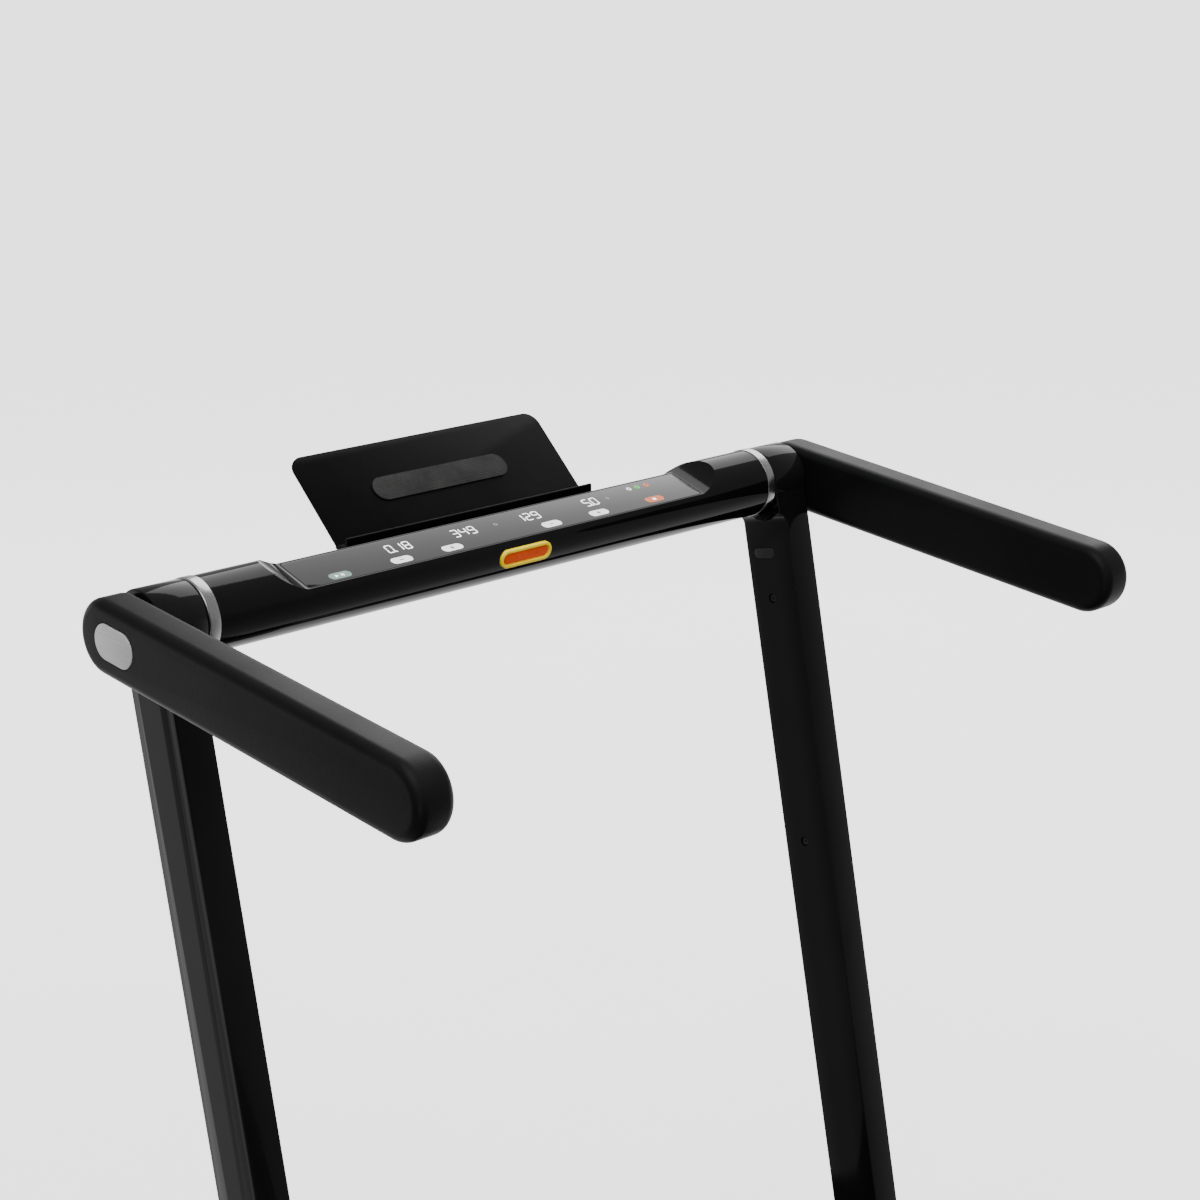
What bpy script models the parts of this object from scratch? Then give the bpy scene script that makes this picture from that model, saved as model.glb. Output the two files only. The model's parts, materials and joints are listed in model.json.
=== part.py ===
# A flat-folding treadmill: low powered deck, folding mast, round console bar and two folding handrails.
# Units are metres. X points to the user's right, Y points forward, Z points up.
# The walking deck rests on four rubber feet at z = 0 and the origin is under the middle of the deck.
import math
import bpy
import bmesh
from mathutils import Matrix, Vector
from mathutils.geometry import tessellate_polygon

for leftover in list(bpy.data.objects):
    bpy.data.objects.remove(leftover, do_unlink=True)

# ---------------------------------------------------------------- driving sizes
GAP = 0.0003                      # clearance between fixed neighbours
RUN = 0.0005                      # clearance between moving neighbours

BASE_LENGTH = 1.52                # whole deck, front to back
BASE_HALF_WIDTH = 0.333           # outer face of the side rails and hood
RAIL_TOP = 0.125                  # top of the standing rails
BEAM_IN = 0.285                   # inner face of the steel side beams
BEAM_OUT = 0.325                  # outer face of the steel side beams
BEAM_BOTTOM = 0.022
BEAM_TOP = 0.082
BEAM_WALL = 0.002

DECK_TOP = 0.105
DECK_THICK = 0.018
DECK_HALF_WIDTH = 0.300
BELT_HALF_WIDTH = 0.230
BELT_THICK = 0.002
BELT_ROOM = 0.0047                # free space between the belt and the cross members
ROLLER_RADIUS = 0.024
ROLLER_HALF = 0.235
AXLE_RADIUS = 0.008

HOOD_LENGTH = 0.38
HOOD_TOP = 0.190
HOOD_WALL = 0.003

PIVOT_SETBACK = 0.07              # mast pivot ahead of the hood's rear face
PIVOT_Z = 0.165
BAR_HEIGHT = 1.08                 # console bar axis above the floor
MAST_LEAN = math.radians(11.65)   # top leans forward

BAR_RADIUS = 0.0325
BAR_HALF = 0.3215                 # half length of the bar between the trim rings
BAR_WALL = 0.003
RING_WIDTH = 0.0111
RING_PROUD = 0.0007               # trim rings stand proud of the bar
SEAM_ANGLE = -33.0                # casing seam, degrees from the user side, upward positive

PANEL_HALF = 0.233                # half length of the flat console face
SCOOP_END = 0.262                 # where the bar is fully round again
PANEL_TILT = math.radians(16.71)  # the flat face rises away from the user
PANEL_CUT = 0.01368               # depth of the flat face below the round of the bar
PANEL_BACK = 0.0078               # how far the flat face stops short of the round behind it
BACK_DROP = 0.0018                # depth of the slope behind the flat face
GLASS_THICK = 0.0018

UPRIGHT_IN = 0.3445
UPRIGHT_OUT = 0.3765
UPRIGHT_DEPTH = 0.0593
UPRIGHT_WALL = 0.0025
UPRIGHT_CORNER = 0.008
HEAD_COLLAR = 0.0017              # small step between the mast head and the handrail
COLLAR_INSET = 0.0065             # radius of that step, below the bar's

HANDRAIL_IN = 0.3785
HANDRAIL_THICK = 0.0352
HANDRAIL_WIDTH = 0.0632
HANDRAIL_REACH = 0.3611           # centre to centre of the rounded ends
HANDRAIL_FILLET = 0.009
HANDRAIL_SLOPE = math.radians(5.4)

PLATE_HALF = 0.145                # tablet plate
PLATE_HEIGHT = 0.095
PLATE_THICK = 0.003
PLATE_LEAN = math.radians(46.5)
PLATE_FOOT_OFFSET = (0.004, 0.007)   # lower front edge of the plate, from its hinge
HINGE_CLEAR = 0.008               # hinge axis behind the bar
HINGE_RISE = 0.0085               # hinge axis above the bar axis

WHEEL_RADIUS = 0.0245
FOOT_HEIGHT = BEAM_BOTTOM - GAP
BOLT_RADIUS = 0.008
STUD_RADIUS = 0.005
STUD_REACH = 0.055                # clamp stud to mast pivot

# ---------------------------------------------------------------- derived sizes
BASE_FRONT = BASE_LENGTH / 2
BASE_REAR = -BASE_LENGTH / 2
HOOD_REAR = BASE_FRONT - HOOD_LENGTH
PIVOT_Y = HOOD_REAR + PIVOT_SETBACK
ROLLER_Z = DECK_TOP - ROLLER_RADIUS
CROSS_TOP = ROLLER_Z - ROLLER_RADIUS - GAP - BELT_THICK - BELT_ROOM
REAR_ROLLER_Y = BASE_REAR + 0.05
FRONT_ROLLER_Y = HOOD_REAR + 0.12
MAST_LENGTH = (BAR_HEIGHT - PIVOT_Z) / math.cos(MAST_LEAN)
BAR_Y = PIVOT_Y + MAST_LENGTH * math.sin(MAST_LEAN)
BAR = Vector((0, BAR_Y, BAR_HEIGHT))
RAIL_END = BASE_REAR + 0.09       # where the standing rails meet the rear caps

# the flat face is a plane across the round bar, given by its tilt and its distance from the bar axis
RING_RADIUS = BAR_RADIUS + RING_PROUD
PANEL_LEVEL = BAR_RADIUS - PANEL_CUT
HALF_CHORD = math.sqrt(BAR_RADIUS ** 2 - PANEL_LEVEL ** 2)


def on_chord(run):
    """A point of the flat face's plane: run along it from the point nearest the bar axis."""
    return (run * math.cos(PANEL_TILT) - PANEL_LEVEL * math.sin(PANEL_TILT),
            run * math.sin(PANEL_TILT) + PANEL_LEVEL * math.cos(PANEL_TILT))


PANEL_NEAR = on_chord(-HALF_CHORD)
PANEL_FAR = on_chord(HALF_CHORD - PANEL_BACK)
HINGE = (BAR_RADIUS + HINGE_CLEAR, HINGE_RISE)
PLATE_FOOT = (HINGE[0] + PLATE_FOOT_OFFSET[0], HINGE[1] + PLATE_FOOT_OFFSET[1])


def material(name, color, roughness, metallic=0.0):
    mat = bpy.data.materials.new(name)
    mat.use_nodes = True
    shader = mat.node_tree.nodes["Principled BSDF"]
    shader.inputs["Base Color"].default_value = (*color, 1)
    shader.inputs["Roughness"].default_value = roughness
    shader.inputs["Metallic"].default_value = metallic
    return mat


LOOKS = {
    "steel_black": ((0.02, 0.02, 0.022), 0.35, 0.6),
    "gloss_black": ((0.008, 0.008, 0.009), 0.12, 0.0),
    "satin_black": ((0.015, 0.015, 0.016), 0.45, 0.0),
    "dark_plastic": ((0.03, 0.03, 0.033), 0.5, 0.0),
    "rubber": ((0.02, 0.02, 0.02), 0.85, 0.0),
    "belt": ((0.025, 0.025, 0.027), 0.8, 0.0),
    "board": ((0.35, 0.22, 0.12), 0.6, 0.0),
    "steel": ((0.6, 0.6, 0.62), 0.3, 1.0),
    "aluminium": ((0.75, 0.75, 0.76), 0.25, 1.0),
    "green_board": ((0.02, 0.18, 0.06), 0.4, 0.0),
    "glass": ((0.03, 0.03, 0.035), 0.05, 0.0),
    "yellow": ((0.9, 0.65, 0.02), 0.35, 0.0),
    "orange": ((0.85, 0.16, 0.02), 0.4, 0.0),
    "grey_pad": ((0.1, 0.1, 0.1), 0.8, 0.0),
    "silver_badge": ((0.8, 0.8, 0.82), 0.3, 0.6),
    "red": ((0.6, 0.03, 0.02), 0.4, 0.0),
}


class Solid:
    """Collects walls and caps from loops of points; shared points merge by position."""

    def __init__(self):
        self.points = []
        self.index = {}
        self.faces = []

    def at(self, point):
        key = (round(point[0], 6), round(point[1], 6), round(point[2], 6))
        if key not in self.index:
            self.index[key] = len(self.points)
            self.points.append(key)
        return self.index[key]

    def face(self, points):
        corners = []
        for point in points:
            number = self.at(point)
            if number not in corners:
                corners.append(number)
        if len(corners) > 2:
            self.faces.append(corners)

    def wall(self, first, second):
        count = len(first)
        for i in range(count):
            j = (i + 1) % count
            self.face([first[i], first[j], second[j], second[i]])

    def cap(self, loops):
        flat = [p for loop in loops for p in loop]
        if len(loops) == 1 and len(loops[0]) <= 4:
            self.face(loops[0])
            return
        for tri in tessellate_polygon([[Vector(p) for p in loop] for loop in loops]):
            self.face([flat[i] for i in tri])


def finish(name, solid, look, origin=None):
    mesh = bpy.data.meshes.new(name)
    mesh.from_pydata(solid.points, [], solid.faces)
    work = bmesh.new()
    work.from_mesh(mesh)
    bmesh.ops.recalc_face_normals(work, faces=work.faces)
    if work.calc_volume(signed=True) < 0:
        bmesh.ops.reverse_faces(work, faces=work.faces)
    work.to_mesh(mesh)
    work.free()
    shade(mesh)
    obj = bpy.data.objects.new(name, mesh)
    bpy.context.collection.objects.link(obj)
    if look:
        color, roughness, metallic = LOOKS[look]
        mesh.materials.append(material(name + "_finish", color, roughness, metallic))
    if origin is not None:
        set_origin(obj, origin)
    return obj


def shade(mesh):
    mesh.shade_smooth()
    mesh.set_sharp_from_angle(angle=math.radians(35))


def set_origin(obj, point):
    shift = Vector(point) - obj.location
    obj.data.transform(Matrix.Translation(-shift))
    obj.location = Vector(point)


def combine(target, other, operation):
    modifier = target.modifiers.new("step", 'BOOLEAN')
    modifier.operation = operation
    modifier.solver = 'EXACT'
    modifier.object = other
    bpy.context.view_layer.update()
    graph = bpy.context.evaluated_depsgraph_get()
    mesh = bpy.data.meshes.new_from_object(target.evaluated_get(graph))
    target.modifiers.clear()
    old = target.data
    keep = [slot for slot in old.materials]
    target.data = mesh
    mesh.materials.clear()
    for mat in keep:
        mesh.materials.append(mat)
    for polygon in mesh.polygons:
        polygon.material_index = 0
    mesh.name = target.name
    shade(mesh)
    bpy.data.objects.remove(other, do_unlink=True)


def join_to(target, other):
    combine(target, other, 'UNION')


def cut_from(target, other):
    combine(target, other, 'DIFFERENCE')


# ---------------------------------------------------------------- outline helpers
def place(axis, along, point):
    """Puts a 2-D outline point on the plane across the given axis."""
    if axis == 'X':
        return (along, point[0], point[1])
    if axis == 'Y':
        return (point[0], along, point[1])
    return (point[0], point[1], along)


def circle(centre, radius, count=24, start=0.0):
    step = math.tau / count
    return [(centre[0] + radius * math.cos(start + i * step),
             centre[1] + radius * math.sin(start + i * step)) for i in range(count)]


def rounded(x0, x1, y0, y1, radius, steps=3):
    corners = [(x1 - radius, y1 - radius, 0), (x0 + radius, y1 - radius, 90),
               (x0 + radius, y0 + radius, 180), (x1 - radius, y0 + radius, 270)]
    out = []
    for cx, cy, first in corners:
        for i in range(steps + 1):
            angle = math.radians(first + 90 * i / steps)
            out.append((cx + radius * math.cos(angle), cy + radius * math.sin(angle)))
    return out


def stadium(first, second, radius, steps=8):
    """A slot outline around the line from first to second."""
    aim = math.atan2(second[1] - first[1], second[0] - first[0])
    out = []
    for centre, begin in ((second, aim - math.pi / 2), (first, aim + math.pi / 2)):
        for i in range(steps + 1):
            angle = begin + math.pi * i / steps
            out.append((centre[0] + radius * math.cos(angle), centre[1] + radius * math.sin(angle)))
    return out


def prism(name, outline, axis, start, end, look=None, holes=(), origin=None):
    solid = Solid()
    loops = [outline] + list(holes)
    low = [[place(axis, start, p) for p in loop] for loop in loops]
    high = [[place(axis, end, p) for p in loop] for loop in loops]
    for first, second in zip(low, high):
        solid.wall(first, second)
    solid.cap(low)
    solid.cap(high)
    return finish(name, solid, look, origin)


def stack(name, rings, look=None, bore=None, origin=None):
    """A solid through several outlines; bore is a second list of outlines for a through hole."""
    solid = Solid()
    for first, second in zip(rings, rings[1:]):
        solid.wall(first, second)
    if bore:
        for first, second in zip(bore, bore[1:]):
            solid.wall(first, second)
        solid.cap([rings[0], bore[0]])
        solid.cap([rings[-1], bore[-1]])
    else:
        solid.cap([rings[0]])
        solid.cap([rings[-1]])
    return finish(name, solid, look, origin)


def box(name, x0, x1, y0, y1, z0, z1, look=None, origin=None):
    return prism(name, [(x0, y0), (x1, y0), (x1, y1), (x0, y1)], 'Z', z0, z1, look, (), origin)


def turned(name, axis, centre, profile, look=None, count=24, hole=None, origin=None):
    """A turned piece: profile is a list of (along, radius)."""
    rings = []
    for along, radius in profile:
        rings.append([place(axis, along, p) for p in circle(centre, radius, count)])
    bore = None
    if hole:
        ends = (profile[0][0], profile[-1][0])
        bore = [[place(axis, along, p) for p in circle(centre, hole, count)] for along in ends]
    return stack(name, rings, look, bore, origin)


def inward(line, wall):
    """Moves an open line to its right by the wall, corner by corner."""
    sides = []
    for (y0, z0), (y1, z1) in zip(line, line[1:]):
        length = math.hypot(y1 - y0, z1 - z0)
        sides.append(((z1 - z0) / length, (y0 - y1) / length))
    moved = []
    for i, (y, z) in enumerate(line):
        first = sides[max(i - 1, 0)]
        second = sides[min(i, len(sides) - 1)]
        reach = wall / (1 + first[0] * second[0] + first[1] * second[1])
        moved.append((y + (first[0] + second[0]) * reach, z + (first[1] + second[1]) * reach))
    return moved


def mirrored(points):
    return [(-p[0], p[1]) for p in reversed(points)]


SIDES = (("left", -1), ("right", 1))


def span(side, near, far):
    """Sorted pair of X values for a piece on one side."""
    return sorted((side * near, side * far))


# ================================================================ base frame
beam_mid_x = (BEAM_IN + BEAM_OUT) / 2
beam_front = BASE_FRONT - 0.06
beam_rear = BASE_REAR + 0.04
wheel_y = beam_front + 0.0305
wheel_z = WHEEL_RADIUS + 0.003
ear_in = BEAM_IN - 0.010

for label, side in SIDES:
    x0, x1 = span(side, BEAM_IN, BEAM_OUT)
    outer = rounded(x0, x1, BEAM_BOTTOM, BEAM_TOP, 0.005, 2)
    inner = rounded(x0 + BEAM_WALL, x1 - BEAM_WALL, BEAM_BOTTOM + BEAM_WALL, BEAM_TOP - BEAM_WALL, 0.003, 2)
    beam = prism("side_beam_" + label, outer, 'Y', beam_rear, beam_front, "steel_black", [inner])
    # flat ears inside the beam hold the roller axles
    for y in (REAR_ROLLER_Y, FRONT_ROLLER_Y):
        a, b = span(side, ear_in, BEAM_IN + 0.001)
        shape = rounded(y - 0.022, y + 0.022, 0.040, ROLLER_Z + 0.019, 0.008, 3)
        hole = circle((y, ROLLER_Z), AXLE_RADIUS + GAP, 16)
        ear = prism("ear", shape, 'X', a, b, None, [hole])
        join_to(beam, ear)
    # the front end carries the transport wheel between two fork cheeks
    for near, far in ((BEAM_IN, BEAM_IN + BEAM_WALL + 0.0008), (BEAM_OUT - BEAM_WALL - 0.0008, BEAM_OUT)):
        a, b = span(side, near, far)
        cheek = prism("cheek", stadium((beam_front - 0.02, wheel_z + 0.008), (wheel_y, wheel_z), 0.010, 6),
                      'X', a, b)
        join_to(beam, cheek)
    a, b = span(side, BEAM_IN + 0.001, BEAM_OUT - 0.001)
    pin = turned("pin", 'X', (wheel_y, wheel_z), [(a, 0.004), (b, 0.004)], None, 16)
    join_to(beam, pin)
    a, b = span(side, BEAM_IN + 0.008, BEAM_OUT - 0.008)
    turned("wheel_" + label, 'X', (wheel_y, wheel_z),
           [(a, WHEEL_RADIUS - 0.003), (a + 0.003, WHEEL_RADIUS), (b - 0.003, WHEEL_RADIUS),
            (b, WHEEL_RADIUS - 0.003)], "rubber", 24, 0.004 + RUN, (side * beam_mid_x, wheel_y, wheel_z))

for label, y in (("front", HOOD_REAR), ("rear", BASE_REAR + 0.26)):
    half = BEAM_IN - GAP
    outer = rounded(y - 0.02, y + 0.02, BEAM_BOTTOM + 0.004, CROSS_TOP, 0.004, 2)
    inner = rounded(y - 0.018, y + 0.018, BEAM_BOTTOM + 0.006, CROSS_TOP - 0.002, 0.002, 2)
    prism("cross_member_" + label, outer, 'X', -half, half, "steel_black", [inner])

deck_rear = BASE_REAR + 0.10
deck_front = FRONT_ROLLER_Y - 0.045
deck_bottom = DECK_TOP - DECK_THICK
prism("deck_board", rounded(-DECK_HALF_WIDTH, DECK_HALF_WIDTH, deck_rear, deck_front, 0.006, 2), 'Z',
      deck_bottom, DECK_TOP, "board")
for label, side in SIDES:
    a, b = span(side, BEAM_IN + 0.002, DECK_HALF_WIDTH - 0.0005)
    box("deck_cushion_" + label, a, b, deck_rear + 0.03, deck_front - 0.03, BEAM_TOP + GAP, deck_bottom - GAP,
        "rubber")

# the walking belt is one closed loop around the deck and both rollers
belt_in = ROLLER_RADIUS + GAP
inner = stadium((REAR_ROLLER_Y, ROLLER_Z), (FRONT_ROLLER_Y, ROLLER_Z), belt_in, 12)
outer = stadium((REAR_ROLLER_Y, ROLLER_Z), (FRONT_ROLLER_Y, ROLLER_Z), belt_in + BELT_THICK, 12)
prism("running_belt", outer, 'X', -BELT_HALF_WIDTH, BELT_HALF_WIDTH, "belt", [inner])

for label, y in (("front", FRONT_ROLLER_Y), ("rear", REAR_ROLLER_Y)):
    edge = ROLLER_RADIUS - 0.002
    turned(label + "_roller", 'X', (y, ROLLER_Z),
           [(-ROLLER_HALF, edge), (-ROLLER_HALF + 0.002, ROLLER_RADIUS), (ROLLER_HALF - 0.002, ROLLER_RADIUS),
            (ROLLER_HALF, edge)], "steel", 32, AXLE_RADIUS + RUN, (0, y, ROLLER_Z))
    turned(label + "_axle", 'X', (y, ROLLER_Z), [(-BEAM_IN + 0.0005, AXLE_RADIUS), (BEAM_IN - 0.0005, AXLE_RADIUS)],
           "steel", 16)

# ---------------------------------------------------------------- drive
pulley_in = ROLLER_HALF + 0.005
pulley_out = pulley_in + 0.022
PULLEY_RADIUS = 0.035
MOTOR_PULLEY_RADIUS = 0.014
MOTOR_Y = FRONT_ROLLER_Y + 0.155
MOTOR_Z = 0.088
MOTOR_RADIUS = 0.040
turned("roller_pulley", 'X', (FRONT_ROLLER_Y, ROLLER_Z), [(-pulley_out, PULLEY_RADIUS), (-pulley_in, PULLEY_RADIUS)],
       "aluminium", 32, AXLE_RADIUS + RUN, (0, FRONT_ROLLER_Y, ROLLER_Z))
turned("motor", 'X', (MOTOR_Y, MOTOR_Z),
       [(-0.195, MOTOR_RADIUS - 0.004), (-0.191, MOTOR_RADIUS), (-0.044, MOTOR_RADIUS),
        (-0.040, MOTOR_RADIUS - 0.004)], "steel_black", 28, 0.006 + RUN)
turned("motor_pulley", 'X', (MOTOR_Y, MOTOR_Z),
       [(-pulley_out, MOTOR_PULLEY_RADIUS), (-pulley_in + 0.0015, MOTOR_PULLEY_RADIUS), (-pulley_in + 0.0016, 0.045),
        (-0.222, 0.045), (-0.2219, 0.006), (-0.100, 0.006)], "steel", 28, None, (0, MOTOR_Y, MOTOR_Z))


def wrap(first, first_radius, second, second_radius, steps):
    """Outline of a band around two circles of different radius, first behind second."""
    away = Vector((second[0] - first[0], second[1] - first[1]))
    aim = math.atan2(away.y, away.x)
    spread = math.acos((first_radius - second_radius) / away.length)
    out = []
    for i in range(steps + 1):
        angle = aim - spread + 2 * spread * i / steps
        out.append((second[0] + second_radius * math.cos(angle), second[1] + second_radius * math.sin(angle)))
    for i in range(steps + 1):
        angle = aim + spread + (math.tau - 2 * spread) * i / steps
        out.append((first[0] + first_radius * math.cos(angle), first[1] + first_radius * math.sin(angle)))
    return out


band_in = wrap((FRONT_ROLLER_Y, ROLLER_Z), PULLEY_RADIUS + RUN, (MOTOR_Y, MOTOR_Z), MOTOR_PULLEY_RADIUS + RUN, 12)
band_out = wrap((FRONT_ROLLER_Y, ROLLER_Z), PULLEY_RADIUS + 0.0033, (MOTOR_Y, MOTOR_Z),
                MOTOR_PULLEY_RADIUS + 0.0033, 12)
prism("drive_belt", band_out, 'X', -pulley_out + RUN, -pulley_in - 0.0015, "rubber", [band_in])

# belly pan with two saddles that carry the motor
pan_top = BEAM_BOTTOM + 0.0055
pan_front = beam_front - 0.02
pan_rear = HOOD_REAR + 0.025
pan_half = BEAM_IN - RUN
belly = prism("belly_pan", rounded(-pan_half, pan_half, pan_rear, pan_front, 0.004, 2), 'Z', BEAM_BOTTOM + 0.0025,
              pan_top, "dark_plastic")
for x in (-0.160, -0.060):
    saddle = box("saddle", x - 0.010, x + 0.010, MOTOR_Y - 0.022, MOTOR_Y + 0.022, pan_top - 0.001,
                 MOTOR_Z - MOTOR_RADIUS - GAP)
    join_to(belly, saddle)

# motor controller with cooling fins
fins = [(0.010, pan_top + GAP), (0.160, pan_top + GAP), (0.160, 0.060)]
fin_count = 9
pitch = 0.150 / (2 * fin_count - 1)
for i in range(2 * fin_count - 1):
    left = 0.160 - (i + 1) * pitch
    right = 0.160 - i * pitch
    height = 0.078 if i % 2 == 0 else 0.060
    fins.append((right, height))
    fins.append((left, height))
fins.append((0.010, 0.060))
clean = []
for point in fins:
    if not clean or abs(point[0] - clean[-1][0]) + abs(point[1] - clean[-1][1]) > 1e-6:
        clean.append(point)
prism("controller_box", clean, 'Y', MOTOR_Y - 0.06, MOTOR_Y + 0.02, "aluminium")

# ---------------------------------------------------------------- standing rails and rear caps
lip = BELT_HALF_WIDTH + 0.006
skin = 0.0035
for label, side in SIDES:
    profile = [(lip, DECK_TOP + 0.0008), (lip + 0.003, DECK_TOP + 0.0008), (lip + 0.003, RAIL_TOP - skin),
               (BASE_HALF_WIDTH - skin, RAIL_TOP - skin), (BASE_HALF_WIDTH - skin, 0.030),
               (BASE_HALF_WIDTH, 0.030), (BASE_HALF_WIDTH, RAIL_TOP - 0.004),
               (BASE_HALF_WIDTH - 0.0015, RAIL_TOP - 0.001), (BASE_HALF_WIDTH - 0.004, RAIL_TOP),
               (lip + 0.002, RAIL_TOP), (lip, RAIL_TOP - 0.002)]
    if side < 0:
        profile = mirrored(profile)
    prism("side_rail_" + label, profile, 'Y', RAIL_END + GAP, HOOD_REAR - GAP, "satin_black")

    corner = 0.030
    plan = [(lip, BASE_REAR), (BASE_HALF_WIDTH - corner, BASE_REAR)]
    hollow = [(lip - 0.01, BASE_REAR + skin), (BASE_HALF_WIDTH - corner, BASE_REAR + skin)]
    for i in range(1, 7):
        angle = math.radians(-90 + 15 * i)
        centre = (BASE_HALF_WIDTH - corner, BASE_REAR + corner)
        plan.append((centre[0] + corner * math.cos(angle), centre[1] + corner * math.sin(angle)))
        hollow.append((centre[0] + (corner - skin) * math.cos(angle), centre[1] + (corner - skin) * math.sin(angle)))
    plan += [(BASE_HALF_WIDTH, RAIL_END), (lip, RAIL_END)]
    hollow += [(BASE_HALF_WIDTH - skin, RAIL_END + 0.01), (lip - 0.01, RAIL_END + 0.01)]
    if side < 0:
        plan = mirrored(plan)
        hollow = mirrored(hollow)
    cap = prism("end_cap_" + label, plan, 'Z', 0.030, RAIL_TOP, "dark_plastic")
    cut_from(cap, prism("room", hollow, 'Z', 0.020, RAIL_TOP - skin))
    bolt_x = side * 0.262
    cut_from(cap, turned("hole", 'Y', (bolt_x, ROLLER_Z), [(BASE_REAR - 0.01, 0.0080), (BASE_REAR + 0.01, 0.0080)],
                         None, 20))
    turned("tension_bolt_" + label, 'Y', (bolt_x, ROLLER_Z),
           [(BASE_REAR + 0.0006, 0.0066), (BASE_REAR + 0.0014, 0.0074), (BASE_REAR + 0.0085, 0.0074),
            (BASE_REAR + 0.0086, 0.004), (REAR_ROLLER_Y - AXLE_RADIUS - RUN, 0.004)], "steel", 16)

# ---------------------------------------------------------------- motor hood
hood_side = [(HOOD_REAR, 0.030), (HOOD_REAR, 0.126), (HOOD_REAR + 0.012, 0.150), (HOOD_REAR + 0.035, 0.172),
             (HOOD_REAR + 0.075, 0.185), (HOOD_REAR + 0.13, HOOD_TOP), (BASE_FRONT - 0.12, HOOD_TOP - 0.003),
             (BASE_FRONT - 0.06, HOOD_TOP - 0.014), (BASE_FRONT - 0.025, HOOD_TOP - 0.034),
             (BASE_FRONT - 0.006, HOOD_TOP - 0.062), (BASE_FRONT, HOOD_TOP - 0.095), (BASE_FRONT, 0.030)]
room_side = inward(hood_side, HOOD_WALL)
# the top cover is one curved sheet; flat side covers close its ends
band = [(HOOD_REAR, 0.112)] + hood_side[1:] + list(reversed(room_side[1:-1])) + [(HOOD_REAR + HOOD_WALL, 0.112)]
band.insert(len(hood_side), (BASE_FRONT - HOOD_WALL, 0.030))
hood_half = BASE_HALF_WIDTH - HOOD_WALL - GAP
hood = prism("hood_top", band, 'X', -hood_half, hood_half, "gloss_black")
for label, side in SIDES:
    a, b = span(side, BASE_HALF_WIDTH - HOOD_WALL, BASE_HALF_WIDTH)
    cover = prism("hood_side_" + label, hood_side, 'X', a, b, "gloss_black")
    a, b = span(side, BASE_HALF_WIDTH - 0.006, BASE_HALF_WIDTH + 0.002)
    cut_from(cover, box("notch", a, b, PIVOT_Y - 0.055, PIVOT_Y + 0.055, 0.020, 0.0855))

# power inlet panel in the front wall, with a rocker switch and a breaker button
panel_x0, panel_x1 = 0.170, 0.270
panel_z0, panel_z1 = 0.045, 0.085
cut_from(hood, box("window", panel_x0, panel_x1, BASE_FRONT - 0.010, BASE_FRONT + 0.010, panel_z0, panel_z1))
panel_z = (panel_z0 + panel_z1) / 2
inlet = box("inlet_panel", panel_x0 + GAP, panel_x1 - GAP, BASE_FRONT - 0.027, BASE_FRONT - GAP, panel_z0 + GAP,
            panel_z1 - GAP, "dark_plastic")
socket_x, switch_x, breaker_x = 0.192, 0.228, 0.254
cut_from(inlet, prism("socket", rounded(socket_x - 0.0135, socket_x + 0.0135, panel_z - 0.010, panel_z + 0.010,
                                        0.003, 2), 'Y', BASE_FRONT - 0.019, BASE_FRONT + 0.01))
for x in (-0.007, 0, 0.007):
    blade = box("blade", socket_x + x - 0.001, socket_x + x + 0.001, BASE_FRONT - 0.020, BASE_FRONT - 0.008,
                panel_z - 0.003, panel_z + 0.003)
    join_to(inlet, blade)
cut_from(inlet, box("pocket", switch_x - 0.0088, switch_x + 0.0088, BASE_FRONT - 0.0205, BASE_FRONT + 0.01,
                    panel_z - 0.0092, panel_z + 0.0092))
cut_from(inlet, turned("hole", 'Y', (breaker_x, panel_z), [(BASE_FRONT - 0.0215, 0.0054), (BASE_FRONT + 0.01, 0.0054)],
                       None, 20))
rocker_y = BASE_FRONT - 0.0105
SWITCH_TILT = math.radians(10)
rocker_points = []
for dy, dz in ((-0.0045, -0.0062), (0.0062, -0.0066), (0.0046, 0.0), (0.0062, 0.0066), (-0.0045, 0.0062)):
    turned_y = dy * math.cos(SWITCH_TILT) - dz * math.sin(SWITCH_TILT)
    turned_z = dy * math.sin(SWITCH_TILT) + dz * math.cos(SWITCH_TILT)
    rocker_points.append((rocker_y + turned_y, panel_z + turned_z))
prism("power_switch", rocker_points, 'X', switch_x - 0.0082, switch_x + 0.0082, "red", (),
      (switch_x, rocker_y, panel_z))
turned("breaker_button", 'Y', (breaker_x, panel_z),
       [(BASE_FRONT - 0.016, 0.005), (BASE_FRONT - 0.0012, 0.005), (BASE_FRONT - 0.0004, 0.0042)], "dark_plastic", 20,
       None, (breaker_x, BASE_FRONT - 0.016, panel_z))

# ---------------------------------------------------------------- feet
for end, y in (("rear", BASE_REAR + 0.11), ("front", BASE_FRONT - 0.14)):
    for label, side in SIDES:
        turned("foot_" + end + "_" + label, 'Z', (side * beam_mid_x, y),
               [(0.0, 0.0165), (0.0015, 0.018), (FOOT_HEIGHT - 0.0015, 0.018), (FOOT_HEIGHT, 0.0165)], "rubber", 24)

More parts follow.
